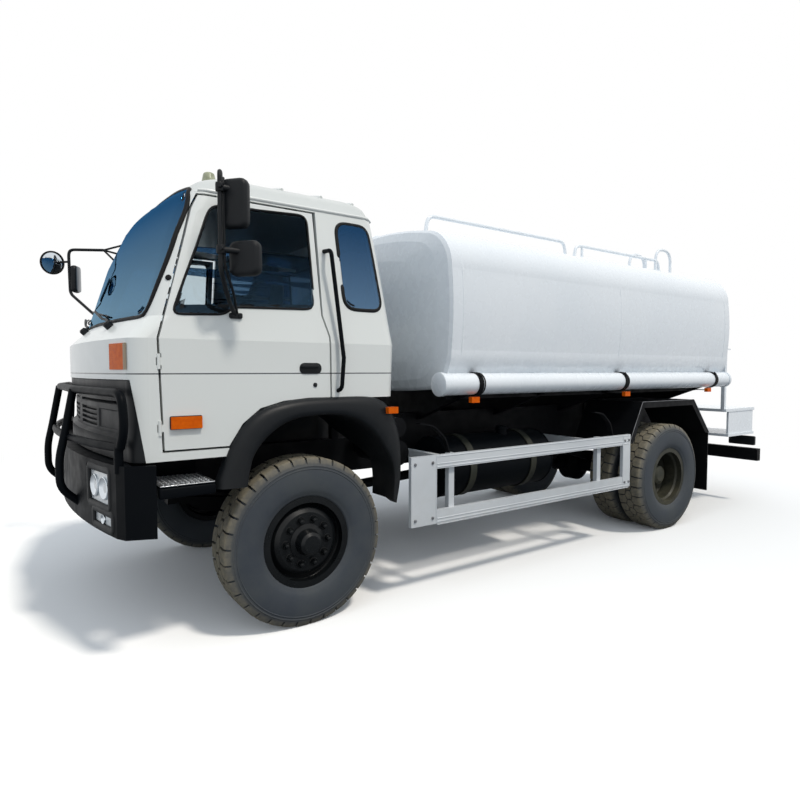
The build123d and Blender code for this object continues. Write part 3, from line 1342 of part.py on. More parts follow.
os.makedirs("parts", exist_ok=True)
nodes = {
    "chassis_frame": chassis_frame(),
    "engine_block": engine_block(),
    "radiator": radiator(),
    "driveline": driveline(),
    "front_axle": front_axle(),
    "rear_axle": rear_axle(),
    "leaf_springs": leaf_springs(),
    "tie_rod": tie_rod(),
}
for side, word in ((1, "left"), (-1, "right")):
    nodes["steering_knuckle_" + word] = steering_knuckle(side)
    nodes["front_rim_" + word] = front_rim(side)
    nodes["front_tyre_" + word] = front_tyre(side)
    nodes["rear_rims_" + word] = rear_rims(side)
    nodes["rear_tyres_" + word] = rear_tyres(side)
nodes.update(cab_parts())
nodes.update({
    "grille": grille(),
    "bumper": bumper(),
    "bull_bar": bull_bar(),
    "headlamps": headlamps(),
    "marker_lamps": marker_lamps(),
    "door_lamp_left": door_lamp(),
    "door_lamp_right": mirror(door_lamp(), about=Plane.XZ),
    "roof_beacon": roof_beacon(),
    "entry_steps": entry_steps(),
    "front_mudguards": front_mudguards(),
    "mirror_left": mirror_left(),
    "mirror_right": mirror_right(),
    "grab_handles": grab_handles(),
    "seats": seats(),
    "seat_bases": seat_bases(),
    "dashboard": dashboard(),
    "steering_wheel": steering_wheel(),
    "tank_body": tank_body(),
    "manhole_lid": manhole_lid(),
    "top_rails": top_rails(),
    "hose_tubes": hose_tubes(),
    "tank_cradle": tank_cradle(),
    "side_guards": side_guards(),
    "fuel_tank": fuel_tank(),
    "air_tanks": air_tanks(),
    "battery_box": battery_box(),
    "exhaust": exhaust(),
    "rear_mudguards": rear_mudguards(),
    "rear_platform": rear_platform(),
    "underrun_bar": underrun_bar(),
    "tail_lamps": tail_lamps(),
})
for name, shape in nodes.items():
    save(name, shape)
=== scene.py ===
import math
import bpy
import numpy as np
from mathutils import Matrix, Vector
from mathutils.bvhtree import BVHTree


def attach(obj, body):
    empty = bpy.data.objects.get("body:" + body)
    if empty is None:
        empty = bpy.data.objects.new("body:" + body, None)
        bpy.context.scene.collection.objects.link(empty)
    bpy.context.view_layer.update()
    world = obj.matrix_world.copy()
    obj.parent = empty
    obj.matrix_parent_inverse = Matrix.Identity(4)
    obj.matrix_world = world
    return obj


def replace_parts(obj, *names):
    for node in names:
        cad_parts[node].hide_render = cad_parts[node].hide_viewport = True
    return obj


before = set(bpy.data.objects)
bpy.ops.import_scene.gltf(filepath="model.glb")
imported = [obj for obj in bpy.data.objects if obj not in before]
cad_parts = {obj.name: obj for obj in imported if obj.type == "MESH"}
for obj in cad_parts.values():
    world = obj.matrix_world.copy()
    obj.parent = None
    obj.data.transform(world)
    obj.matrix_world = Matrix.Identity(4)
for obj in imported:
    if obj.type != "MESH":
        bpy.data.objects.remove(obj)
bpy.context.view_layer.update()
print("frame loaded:", len(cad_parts), "nodes")

frontAxleX = 2.345    # everything along the truck is measured from here
rearAxleX = -1.605
axleZ = 0.5275


def ahead(distance):
    # x of a point that far ahead of the front axle, in metres
    return frontAxleX + distance


def forward(points):
    # points whose first number is a distance ahead of the front axle, as places on the truck
    return [(ahead(x), y, z) for x, y, z in points]


# ---- camera, floor and light ----
cameraView = {
    "place": (3.918, 4.323, 1.594),
    "heading": -125.15,    # degrees anticlockwise from +X, seen from above
    "pitch": -2.95,
    "lens": 26.03,
}


def placed(name, data):
    # object made from its data and put into the scene
    thing = bpy.data.objects.new(name, data)
    bpy.context.scene.collection.objects.link(thing)
    return thing


def placeCamera(view):
    data = bpy.data.cameras.new("camera")
    data.lens = view["lens"]
    data.sensor_width = 36
    data.clip_end = 300
    camera = placed("camera", data)
    camera.location = view["place"]
    camera.rotation_euler = (math.radians(90 + view["pitch"]), 0, math.radians(view["heading"] - 90))
    bpy.context.scene.camera = camera


placeCamera(cameraView)
bpy.context.scene.view_settings.view_transform = "Standard"


def toLinear(hexColour):
    # an sRGB hex value as linear red, green, blue and alpha
    values = np.array([int(hexColour[i:i + 2], 16) / 255 for i in (0, 2, 4)])
    linear = np.where(values <= 0.04045, values / 12.92, ((values + 0.055) / 1.055) ** 2.4)
    return (*linear.tolist(), 1.0)


def addNode(tree, kind, settings=None, links=None):
    # names in lower case are the node's own properties, the others are values of its sockets
    node = tree.nodes.new("ShaderNode" + kind)
    for key, value in (settings or {}).items():
        if isinstance(key, str) and key[0].islower():
            setattr(node, key, value)
        else:
            node.inputs[key].default_value = value
    for key, source in (links or {}).items():
        tree.links.new(source, node.inputs[key])
    return node


def maths(tree, operation, *values):
    # one operation on values that are each a number or a socket
    numbers = {slot: value for slot, value in enumerate(values) if isinstance(value, (int, float))}
    sockets = {slot: value for slot, value in enumerate(values) if slot not in numbers}
    return addNode(tree, "Math", {"operation": operation, **numbers}, sockets).outputs[0]


def ranged(tree, value, low, high, toLow, toHigh, **kind):
    # a value mapped from one range to another and held inside it
    settings = {**kind, "From Min": low, "From Max": high, "To Min": toLow, "To Max": toHigh}
    return addNode(tree, "MapRange", settings, {"Value": value}).outputs[0]


def mixed(tree, factor, first, second):
    # colour between two, each a hex value or a socket
    values = {6: first, 7: second}
    settings = {slot: toLinear(value) for slot, value in values.items() if isinstance(value, str)}
    links = {slot: value for slot, value in values.items() if slot not in settings}
    return addNode(tree, "Mix", {"data_type": "RGBA", **settings}, {0: factor, **links}).outputs[2]


def coordinate(tree, at, axis):
    # one coordinate of a place or a direction
    return addNode(tree, "SeparateXYZ", {}, {0: at}).outputs[axis]


def outputTo(tree, surface, kind="Material"):
    addNode(tree, "Output" + kind, {}, {"Surface": surface.outputs[0]})


def newFinish(name):
    material = bpy.data.materials.new(name)
    material.use_nodes = True
    tree = material.node_tree
    tree.nodes.clear()
    return material, tree, addNode(tree, "TexCoord").outputs["Object"]


studio = {
    "skyLight": 0.74,       # light from all round
    "horizon": 0.62,        # share of it that is left near the horizon
    "zenith": (0.7, 1.15),  # how high up it is at its brightest, and its share there
    "ahead": 1.5,           # how much brighter it is in front of the truck
    "skyTint": "EAF2FB",
    "sunLight": 1.85,
    "sunTint": "FFF8EE",
    "sunSoftness": 7,       # degrees
    "sunFrom": (-0.14, 0.52, 0.85),
    "floorTint": "F4F4F3",
    "floorBounce": "8D9093",    # darker, so that undersides fall off into shade
    "floorSize": 120,
    "floorFades": (3.6, 9.0),    # metres from the middle, where the floor turns into backdrop
}


def seenRays(tree):
    # 1 for rays that show the backdrop: straight ones, reflections and what is seen through glass
    rays = addNode(tree, "LightPath").outputs
    first = maths(tree, "MAXIMUM", rays["Is Camera Ray"], rays["Is Glossy Ray"])
    return maths(tree, "MAXIMUM", first, rays["Is Transmission Ray"])


def buildSky(look):
    # pale sky that gives the light, and white backdrop wherever it is seen
    world = bpy.data.worlds.new("studio")
    bpy.context.scene.world = world
    world.use_nodes = True
    tree = world.node_tree
    tree.nodes.clear()
    way = addNode(tree, "TexCoord").outputs["Generated"]
    upTo, most = look["zenith"]
    high = ranged(tree, coordinate(tree, way, "Z"), 0.0, upTo, look["horizon"], most)
    front = ranged(tree, coordinate(tree, way, "X"), -0.2, 1.0, 1.0, look["ahead"])
    level = maths(tree, "MULTIPLY", maths(tree, "MULTIPLY", high, front), look["skyLight"])
    light = addNode(tree, "Background", {"Color": toLinear(look["skyTint"])}, {"Strength": level})
    seen = addNode(tree, "Background", {"Color": (1, 1, 1, 1), "Strength": 1.0})
    mix = addNode(tree, "MixShader", {}, {0: seenRays(tree), 1: light.outputs[0], 2: seen.outputs[0]})
    outputTo(tree, mix, "World")


def placeSun(look):
    data = bpy.data.lights.new("sun", "SUN")
    data.energy = look["sunLight"]
    data.angle = math.radians(look["sunSoftness"])
    data.color = toLinear(look["sunTint"])[:3]
    sun = placed("sun", data)
    sun.rotation_mode = "QUATERNION"
    sun.rotation_quaternion = Vector(look["sunFrom"]).to_track_quat("Z", "Y")


def layFloor(look):
    # dull floor under the truck that fades into the backdrop round it
    half = look["floorSize"] / 2
    mesh = bpy.data.meshes.new("floor")
    mesh.from_pydata([(-half, -half, 0), (half, -half, 0), (half, half, 0), (-half, half, 0)], [], [(0, 1, 2, 3)])
    floor = placed("floor", mesh)
    material, tree, at = newFinish("pale studio floor")
    away = addNode(tree, "VectorMath", {"operation": "LENGTH"}, {0: at}).outputs["Value"]
    fade = ranged(tree, away, *look["floorFades"], 0.0, 1.0, interpolation_type="SMOOTHSTEP")
    share = maths(tree, "MULTIPLY", fade, seenRays(tree))
    direct = addNode(tree, "LightPath").outputs["Is Camera Ray"]
    tint = mixed(tree, direct, look["floorBounce"], look["floorTint"])
    dull = addNode(tree, "BsdfDiffuse", {"Roughness": 0.9}, {"Color": tint})
    white = addNode(tree, "Emission", {"Color": (1, 1, 1, 1), "Strength": 1.0})
    outputTo(tree, addNode(tree, "MixShader", {}, {0: share, 1: dull.outputs[0], 2: white.outputs[0]}))
    mesh.materials.append(material)


buildSky(studio)
placeSun(studio)
layFloor(studio)
print("camera, floor and light placed")



# ---- finishes ----
def noise(tree, at, size, detail=3.0, rough=0.5):
    # cloudy pattern whose patches are about that many metres across
    settings = {"Scale": 1 / size, "Detail": detail, "Roughness": rough}
    return addNode(tree, "TexNoise", settings, {"Vector": at}).outputs[0]


def dustLevel(tree, at, top, bottom, most):
    # grows from 0 at height top to most at height bottom, broken up into patches
    level = ranged(tree, coordinate(tree, at, "Z"), bottom, top, most, 0.0)
    broken = ranged(tree, noise(tree, at, 0.11, 5.0, 0.62), 0.36, 0.68, 0.25, 1.0)
    return maths(tree, "MULTIPLY", level, broken)


def finishWith(tree, colour, roughness, bumpHeight, look):
    # the shader shared by the opaque finishes, with its bump in metres
    bump = addNode(tree, "Bump", {"Strength": 0.5, "Distance": look["depth"]}, {"Height": bumpHeight})
    settings = {
        "Metallic": look.get("metallic", 0.0),
        "Coat Weight": look.get("coat", 0.0),
        "Coat Roughness": look.get("coatRoughness", 0.08),
        "Sheen Weight": look.get("sheen", 0.0),
        "Specular IOR Level": look.get("specular", 0.5),
    }
    links = {"Base Color": colour, "Roughness": roughness, "Normal": bump.outputs[0]}
    outputTo(tree, addNode(tree, "BsdfPrincipled", settings, links))


def sprayedEnamel(name, look):
    # paint over steel: slightly cloudy colour, orange peel a few millimetres wide, dust low down
    material, tree, at = newFinish(name)
    cloud = noise(tree, at, look.get("cloud", 0.7))
    colour = mixed(tree, ranged(tree, cloud, 0.35, 0.65, 0.0, 1.0), look["colour"], look["shade"])
    dust = dustLevel(tree, at, look.get("dustTop", 1.2), 0.25, look.get("dust", 0.0))
    colour = mixed(tree, dust, colour, look.get("dustColour", "8A8272"))
    if "groove" in look:    # painted shade: a dark band at the height of the pressed line round the cab
        line = maths(tree, "COMPARE", coordinate(tree, at, "Z"), *look["groove"])
        colour = mixed(tree, line, colour, "4A4E52")
    low, high = look["roughness"]
    roughness = ranged(tree, noise(tree, at, 0.09, 4.0), 0.35, 0.65, low, high)
    finishWith(tree, colour, roughness, noise(tree, at, look.get("peel", 0.006), 2.0), look)
    return material


def mouldedPlastic(name, look):
    # fine spark grain from the mould, a little paler where it scuffs
    material, tree, at = newFinish(name)
    grain = addNode(tree, "TexVoronoi", {"Scale": 1 / 0.0022}, {"Vector": at}).outputs[0]
    cloud = noise(tree, at, 0.16, 5.0, 0.6)
    colour = mixed(tree, ranged(tree, cloud, 0.42, 0.75, 0.0, 1.0), look["colour"], look["shade"])
    colour = mixed(tree, dustLevel(tree, at, 1.3, 0.3, look.get("dust", 0.0)), colour, "7F7866")
    low, high = look["roughness"]
    finishWith(tree, colour, ranged(tree, cloud, 0.3, 0.7, low, high), grain, look)
    return material


def castIron(name, look):
    # sand-cast skin, darker and wetter with oil in patches
    material, tree, at = newFinish(name)
    grit = noise(tree, at, 0.004, 6.0, 0.65)
    oil = ranged(tree, noise(tree, at, 0.12, 4.0), 0.4, 0.62, 0.0, 1.0)
    colour = mixed(tree, oil, look["colour"], look["shade"])
    finishWith(tree, colour, ranged(tree, oil, 0.0, 1.0, *look["roughness"]), grit, look)
    return material


def brushedMetal(name, look):
    # drawn or rolled metal with streaks along the truck and a dull film
    material, tree, at = newFinish(name)
    stretch = addNode(tree, "Mapping", {"Scale": look.get("streaks", (4.0, 260.0, 260.0))}, {"Vector": at})
    lines = addNode(tree, "TexNoise", {"Scale": 1.0, "Detail": 3.0}, {"Vector": stretch.outputs[0]}).outputs[0]
    film = ranged(tree, noise(tree, at, 0.08, 5.0, 0.6), 0.38, 0.66, 0.0, 1.0)
    colour = mixed(tree, film, look["colour"], look["shade"])
    finishWith(tree, colour, ranged(tree, film, 0.0, 1.0, *look["roughness"]), lines, look)
    return material


def tyreRubber(name, look):
    # black rubber greyed by use, with dry earth on the lugs and in the grooves
    material, tree, at = newFinish(name)
    dust = addNode(tree, "Attribute", {"attribute_name": "dust"}).outputs["Fac"]
    patches = ranged(tree, noise(tree, at, 0.03, 5.0, 0.65), 0.3, 0.62, 0.45, 1.0)
    share = maths(tree, "MULTIPLY", dust, patches)
    worn = ranged(tree, noise(tree, at, 0.25, 4.0, 0.6), 0.35, 0.65, 0.0, 1.0)
    colour = mixed(tree, worn, look["colour"], look["shade"])
    colour = mixed(tree, share, colour, look["earth"])
    finishWith(tree, colour, ranged(tree, worn, 0.0, 1.0, *look["roughness"]), noise(tree, at, 0.003, 4.0), look)
    return material


def paneGlass(name, look):
    # safety glass with a painted reflection: its glossy colour is painted as a blue sky that is deeper towards the
    # top, and more of it shows at a low angle
    material, tree, at = newFinish(name)
    paintedSky = mixed(tree, ranged(tree, coordinate(tree, at, "Z"), *look["band"], 0.0, 1.0), look["low"], look["high"])
    smear = ranged(tree, noise(tree, at, 0.35, 4.0), 0.4, 0.7, 0.01, 0.035)
    through = addNode(tree, "BsdfTransparent", {"Color": toLinear(look["tint"])})
    shine = addNode(tree, "BsdfGlossy", {}, {"Color": paintedSky, "Roughness": smear})
    facing = addNode(tree, "Fresnel", {"IOR": 1.45})
    share = ranged(tree, facing.outputs[0], 0.0, 1.0, *look["mirrors"])
    outputTo(tree, addNode(tree, "MixShader", {}, {0: share, 1: through.outputs[0], 2: shine.outputs[0]}))
    return material


def mouldedLens(name, look):
    # acrylic lens with fine flutes; light sinks a little way in before it comes back
    material, tree, at = newFinish(name)
    settings = {"bands_direction": look["flutes"], "Scale": look["count"], "Distortion": 0.0}
    flutes = addNode(tree, "TexWave", settings, {"Vector": at})
    cloud = ranged(tree, noise(tree, at, 0.03), 0.3, 0.7, 0.0, 1.0)
    colour = mixed(tree, cloud, look["colour"], look["shade"])
    if "rear" in look:    # lenses in two colours: the outer part of the corner lamps is clear
        outerY, frontX = look["rear"]
        outer = maths(tree, "GREATER_THAN", maths(tree, "ABSOLUTE", coordinate(tree, at, "Y")), outerY)
        front = maths(tree, "GREATER_THAN", coordinate(tree, at, "X"), frontX)
        colour = mixed(tree, maths(tree, "MULTIPLY", outer, front), colour, look["rearColour"])
    finishWith(tree, colour, ranged(tree, cloud, 0.0, 1.0, 0.12, 0.22), flutes.outputs[0], look)
    return material


def wovenCloth(name, look):
    # plain weave drawn coarser than the real thread so that it shows
    material, tree, at = newFinish(name)
    settings = {"Scale": 1 / look["thread"], "Distortion": 0.6}
    warp, weft = (addNode(tree, "TexWave", {"bands_direction": way, **settings}, {"Vector": at}).outputs[1]
                  for way in "XZ")
    weave = maths(tree, "MAXIMUM", warp, weft)
    colour = mixed(tree, ranged(tree, weave, 0.2, 0.9, 0.0, 1.0), look["shade"], look["colour"])
    finishWith(tree, colour, ranged(tree, weave, 0.0, 1.0, 0.95, 0.8), weave, look)
    return material


finishes = {
    "cabPaint": sprayedEnamel("off-white cab enamel", {
        "colour": "DFE2DF", "shade": "DADDDA", "roughness": (0.30, 0.38), "coat": 0.3, "depth": 0.00008,
        # groove: height and half width of the painted shade band along the pressed line
        "cloud": 1.6, "dust": 0.25, "dustTop": 1.35, "groove": (1.575, 0.0035)}),
    # painted shade: the cab's enamel copied darker for the roof, and rougher with less coat
    "shadedRoofPaint": sprayedEnamel("off-white cab enamel, sun-dulled on the roof", {
        "colour": "C4C8C6", "shade": "BEC2C0", "roughness": (0.36, 0.46), "coat": 0.1, "depth": 0.00008,
        "cloud": 1.6}),
    "tankPaint": sprayedEnamel("gloss white tank enamel", {
        "colour": "E6EBEF", "shade": "E1E7EC", "roughness": (0.24, 0.3), "coat": 0.25, "coatRoughness": 0.14,
        "depth": 0.00005, "peel": 0.012}),
    "guardPaint": sprayedEnamel("satin white guard enamel", {
        "colour": "D2D6D9", "shade": "C6CBCF", "roughness": (0.3, 0.42), "coat": 0.2, "depth": 0.0001,
        "dust": 0.22, "dustTop": 1.1}),
    "blackPaint": sprayedEnamel("satin black enamel", {
        "colour": "080B0F", "shade": "0A0E12", "roughness": (0.38, 0.48), "coat": 0.0, "specular": 0.05,
        "depth": 0.00006, "dust": 0.03, "dustTop": 1.2, "dustColour": "4A4840"}),
    "framePaint": sprayedEnamel("flat chassis black", {
        "colour": "07090D", "shade": "0B0D10", "roughness": (0.5, 0.68), "specular": 0.12, "depth": 0.0003,
        "dust": 0.10, "dustTop": 1.3, "dustColour": "38352E"}),
    "wheelPaint": sprayedEnamel("gloss black wheel enamel", {
        "colour": "0A0D10", "shade": "0F1214", "roughness": (0.25, 0.38), "coat": 0.05, "specular": 0.25,
        "depth": 0.00015, "dust": 0.05, "dustTop": 1.1, "dustColour": "3C3A32"}),
    "olivePaint": sprayedEnamel("olive wheel primer", {
        "colour": "2E312A", "shade": "20221D", "roughness": (0.4, 0.55), "specular": 0.25, "depth": 0.0002,
        "dust": 0.35, "dustTop": 1.1, "dustColour": "6A6450"}),
    "plastic": mouldedPlastic("black spark-grained ABS", {
        "colour": "0F1317", "shade": "16191D", "roughness": (0.4, 0.55), "specular": 0.22, "depth": 0.0002,
        "dust": 0.06}),
    "dashPlastic": mouldedPlastic("dark grey dashboard ABS", {
        "colour": "23272C", "shade": "2C3035", "roughness": (0.5, 0.62), "specular": 0.25, "depth": 0.0003}),
    "castMetal": castIron("oily cast iron", {
        "colour": "1C1F22", "shade": "0C0D0E", "roughness": (0.75, 0.42), "specular": 0.2, "depth": 0.0008}),
    "coreAlloy": brushedMetal("dusty radiator core", {
        "colour": "74777A", "shade": "55544E", "roughness": (0.45, 0.7), "metallic": 0.8, "depth": 0.0006,
        "streaks": (2.0, 420.0, 20.0)}),
    "dullSteel": brushedMetal("heat-dulled silencer steel", {
        "colour": "6B625A", "shade": "4B423A", "roughness": (0.45, 0.65), "metallic": 0.85, "depth": 0.0002}),
    "treadAlloy": brushedMetal("rolled aluminium tread plate", {
        "colour": "C9CCCF", "shade": "A9ABAD", "roughness": (0.28, 0.45), "metallic": 0.95, "depth": 0.0001}),
    "boltSteel": brushedMetal("zinc-plated steel", {
        "colour": "8E9094", "shade": "6F7072", "roughness": (0.35, 0.55), "metallic": 0.9, "depth": 0.0001}),
    "mirrorShade": brushedMetal("mirror in shade", {
        "colour": "39434C", "shade": "323B44", "roughness": (0.05, 0.09), "metallic": 1.0, "depth": 0.00001}),
    "mirrorSilver": brushedMetal("silvered mirror", {
        "colour": "D5DCE2", "shade": "CFD6DC", "roughness": (0.02, 0.04), "metallic": 1.0, "depth": 0.00001}),
    # low and high: colours of the painted sky reflection at the bottom and top of the band of heights
    "frontGlass": paneGlass("blue-tinted windscreen glass", {
        "tint": "86A9C4", "low": "7FA6C0", "high": "2F628F", "band": (1.95, 2.55), "mirrors": (0.50, 0.85)}),
    "sideGlass": paneGlass("clear side glass", {
        "tint": "F0F5F7", "low": "5B7C96", "high": "1E2A33", "band": (1.9, 2.35), "mirrors": (0.05, 0.7)}),
    "rearGlass": paneGlass("blue-tinted side glass", {
        "tint": "A9C3D8", "low": "7FA3C4", "high": "35608A", "band": (1.95, 2.5), "mirrors": (0.38, 0.8)}),
    "clearLens": mouldedLens("fluted clear lens", {
        "colour": "DADDDD", "shade": "C4C9CB", "coat": 1.0, "flutes": "Y", "count": 28.0, "depth": 0.0008}),
    "amberLens": mouldedLens("moulded amber lens", {
        "colour": "E0670E", "shade": "CC5308", "coat": 0.0, "specular": 0.05, "flutes": "Z", "count": 30.0,
        "depth": 0.0006, "rear": (1.062, ahead(0.9)), "rearColour": "A9967F"}),
    "beaconLens": mouldedLens("smoky clear lens", {
        "colour": "A7AB90", "shade": "8C8F76", "coat": 0.3, "specular": 0.3, "flutes": "Z", "count": 40.0,
        "depth": 0.0008}),
    "redLens": mouldedLens("moulded red lens", {
        "colour": "A8140E", "shade": "8C0E09", "coat": 0.2, "specular": 0.3, "flutes": "Z", "count": 30.0,
        "depth": 0.0006}),
    "cloth": wovenCloth("blue-grey seat weave", {
        "colour": "39475C", "shade": "20293A", "thread": 0.012, "depth": 0.0006, "sheen": 0.25}),
    "tyre": tyreRubber("dusty tyre rubber", {
        "colour": "3B4149", "shade": "464B4F", "earth": "8E8672", "roughness": (0.6, 0.78), "specular": 0.25,
        "depth": 0.0002}),
    "seal": mouldedPlastic("black seal rubber", {
        "colour": "0B0D10", "shade": "121417", "roughness": (0.5, 0.7), "specular": 0.18, "depth": 0.0001}),
}

nodeFinishes = {
    "cabPaint": ["cab_shell", "cab_roof", "cab_front_panel", "door_left", "door_right"],
    "tankPaint": ["tank_body", "manhole_lid", "top_rails", "hose_tubes", "rear_platform"],
    "guardPaint": ["side_guards"],
    "blackPaint": ["bumper", "bull_bar", "entry_steps", "grab_handles", "fuel_tank"],
    "framePaint": ["chassis_frame", "tank_cradle", "front_axle", "rear_axle", "leaf_springs", "tie_rod",
                   "steering_knuckle_left", "steering_knuckle_right", "rear_mudguards", "underrun_bar",
                   "air_tanks", "battery_box"],
    "wheelPaint": ["front_rim_left", "front_rim_right"],
    "olivePaint": ["rear_rims_left", "rear_rims_right"],
    "plastic": ["grille", "front_mudguards", "mirror_left", "mirror_right"],
    "dashPlastic": ["dashboard", "steering_wheel", "seat_bases", "cab_floor"],
    "castMetal": ["engine_block", "driveline"],
    "coreAlloy": ["radiator"],
    "dullSteel": ["exhaust"],
    "frontGlass": ["cab_glass"],
    "sideGlass": ["door_glass_left", "door_glass_right"],
    "clearLens": ["headlamps"],
    "amberLens": ["marker_lamps", "door_lamp_left", "door_lamp_right"],
    "beaconLens": ["roof_beacon"],
    "redLens": ["tail_lamps"],
    "cloth": ["seats"],
    "tyre": ["front_tyre_left", "front_tyre_right", "rear_tyres_left", "rear_tyres_right"],
}
for finish, names in nodeFinishes.items():
    for name in names:
        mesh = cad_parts[name].data
        mesh.materials.clear()
        mesh.materials.append(finishes[finish])
print("finishes on", sum(len(names) for names in nodeFinishes.values()), "nodes")


# ---- shapes ----
def gridFaces(rows, cols, wrapRows=False, wrapCols=False):
    # four-sided faces of a grid of points numbered row by row, closed round either way
    r = np.arange(rows if wrapRows else rows - 1)[:, None]
    c = np.arange(cols if wrapCols else cols - 1)[None, :]
    r2, c2 = (r + 1) % rows, (c + 1) % cols
    return np.stack([r * cols + c, r * cols + c2, r2 * cols + c2, r2 * cols + c], axis=-1).reshape(-1, 4)


def outward(points, groups):
    # turns every face round if the form they close has a negative volume
    triangles = np.concatenate([group[:, [0, i, i + 1]] for group in groups for i in range(1, group.shape[1] - 1)])
    a, b, c = (points[triangles[:, i]] - points.mean(0) for i in range(3))
    if np.einsum("ij,ij->i", a, np.cross(b, c)).sum() < 0:
        return [group[:, ::-1] for group in groups]
    return groups


def addPiece(name, parts, finish, body="chassis", angle=35, dust=None):
    # one object from closed parts, each its points and its groups of faces
    points, faces, offset = [], [], 0
    for partPoints, groups in parts:
        for group in outward(partPoints, groups):
            faces += (group + offset).tolist()
        points.append(partPoints)
        offset += len(partPoints)
    mesh = bpy.data.meshes.new(name)
    mesh.from_pydata(np.concatenate(points), [], faces)
    mesh.shade_smooth()
    mesh.set_sharp_from_angle(angle=math.radians(angle))
    if dust is not None:
        mesh.attributes.new("dust", "FLOAT", "POINT").data.foreach_set("value", dust.astype(np.float32))
    mesh.materials.append(finishes[finish])
    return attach(placed(name, mesh), body)


def mirrored(parts):
    # the same parts on the truck's other side
    return [(points * (1, -1, 1), groups) for points, groups in parts]


def bothSides(parts):
    return parts + mirrored(parts)


def onDoors(name, parts, finish):
    # one piece on each door, made for the left one
    addPiece(name + "Left", parts, finish, "door_left")
    addPiece(name + "Right", mirrored(parts), finish, "door_right")


def unit(vectors):
    return vectors / np.linalg.norm(vectors, axis=-1, keepdims=True)


def basis(axis):
    # two directions square to an axis, and the axis
    w = unit(np.array(axis, float))
    u = unit(np.cross(w, (0, 0, 1) if abs(w[2]) < 0.9 else (1, 0, 0)))
    return u, np.cross(w, u), w


def loft(rings):
    # closed outlines with as many points each, joined in order, with flat ends
    count, sides = rings.shape[:2]
    first, last = np.arange(sides)[None, ::-1], np.arange(sides)[None, :] + (count - 1) * sides
    return rings.reshape(-1, 3), [gridFaces(count, sides, wrapCols=True), first, last]


def turned(profile, place, axis=(0, 1, 0), segments=40, closed=False):
    # (radius, along) points turned about an axis; a closed profile makes a ring
    u, v, w = basis(axis)
    turn = np.linspace(0, 2 * np.pi, segments, endpoint=False)
    around = np.cos(turn)[:, None] * u + np.sin(turn)[:, None] * v
    radius, along = np.array(profile, float).T
    rings = np.array(place) + radius[:, None, None] * around + along[:, None, None] * w
    if closed:
        return rings.reshape(-1, 3), [gridFaces(len(radius), segments, True, True)]
    return loft(rings)


def peg(radius, low, high, place, axis=(0, 1, 0), segments=6, bevel=None):
    # short solid cylinder from one height to another along its axis, with a bevel so far in and so far down
    rim = [(radius, high - bevel[1]), (radius - bevel[0], high)] if bevel else [(radius, high)]
    return turned([(0.001, low), (radius, low), *rim, (0.001, high)], place, axis, segments)


def hoop(inner, outer, half, place, axis, segments):
    # flat ring
    return turned([(inner, -half), (outer, -half), (outer, half), (inner, half)], place, axis, segments, closed=True)


def tube(path, radius, square=(0, 0, 1), sides=12):
    # round section carried along a path; square is a direction the path never takes
    path = np.array(path, float)
    tangent = unit(np.gradient(path, axis=0))
    side = unit(np.cross(tangent, square))
    up = np.cross(side, tangent)
    turn = np.linspace(0, 2 * np.pi, sides, endpoint=False)[:, None]
    return loft(path[:, None] + radius * (np.cos(turn) * side[:, None] + np.sin(turn) * up[:, None]))


def filleted(points, radius, steps=7):
    # straight runs whose corners are rounded, starting a radius away from each corner
    points = np.array(points, float)
    pieces = [points[:1]]
    for before, corner, after in zip(points, points[1:], points[2:]):
        ends = [corner + (p - corner) * min(radius / np.linalg.norm(p - corner), 0.49) for p in (before, after)]
        t = np.linspace(0, 1, steps)[:, None]
        pieces.append((1 - t) ** 2 * ends[0] + 2 * t * (1 - t) * corner + t ** 2 * ends[1])
    return np.concatenate(pieces + [points[-1:]])


def turnedBy(rings, place, turn):
    # points turned by angles about x, y and z in degrees, then moved to their place
    spin = Matrix.Rotation(math.radians(turn[2]), 3, "Z") @ Matrix.Rotation(math.radians(turn[1]), 3, "Y")
    spin = spin @ Matrix.Rotation(math.radians(turn[0]), 3, "X")
    return rings @ np.array(spin).T + np.array(place)


def roundedBox(size, corner, edge, place, turn=(0, 0, 0)):
    # stacked outlines with round corners, drawn in at the top and bottom to round the edges over
    half = np.array(size) / 2
    lift = np.linspace(0, np.pi / 2, 4)
    inset = edge * (1 - np.cos(lift))
    height = half[2] - edge + edge * np.sin(lift)
    heights = np.concatenate([-height[::-1], height])[:, None]
    radius = corner - np.concatenate([inset[::-1], inset])[:, None]
    angles = (np.linspace(0, np.pi / 2, 5) + np.arange(4)[:, None] * np.pi / 2).ravel()
    signs = np.repeat([(1, 1), (-1, 1), (-1, -1), (1, -1)], 5, axis=0)
    x = signs[:, 0] * (half[0] - corner) + radius * np.cos(angles)
    y = signs[:, 1] * (half[1] - corner) + radius * np.sin(angles)
    return loft(turnedBy(np.stack([x, y, np.broadcast_to(heights, x.shape)], axis=-1), place, turn))


def cushion(size, power, place, turn=(0, 0, 0), channels=(), depth=0.012):
    # rounded cushion: a ball whose coordinates are raised to a power below 1, with sewn channels across it
    down = np.radians(np.linspace(-87, 87, 30))[:, None]
    around = np.linspace(0, 2 * np.pi, 64, endpoint=False)[None, :]

    def shaped(value):
        return np.sign(value) * np.abs(value) ** power

    half = np.array(size) / 2
    x = half[0] * shaped(np.cos(down)) * shaped(np.cos(around))
    y = half[1] * shaped(np.cos(down)) * shaped(np.sin(around))
    z = half[2] * shaped(np.sin(down)) * np.ones_like(around)
    for line in channels:
        z = z - np.sign(z) * depth * np.exp(-((y - line) / 0.012) ** 2)
    return loft(turnedBy(np.stack([x, y, z], axis=-1), place, turn))


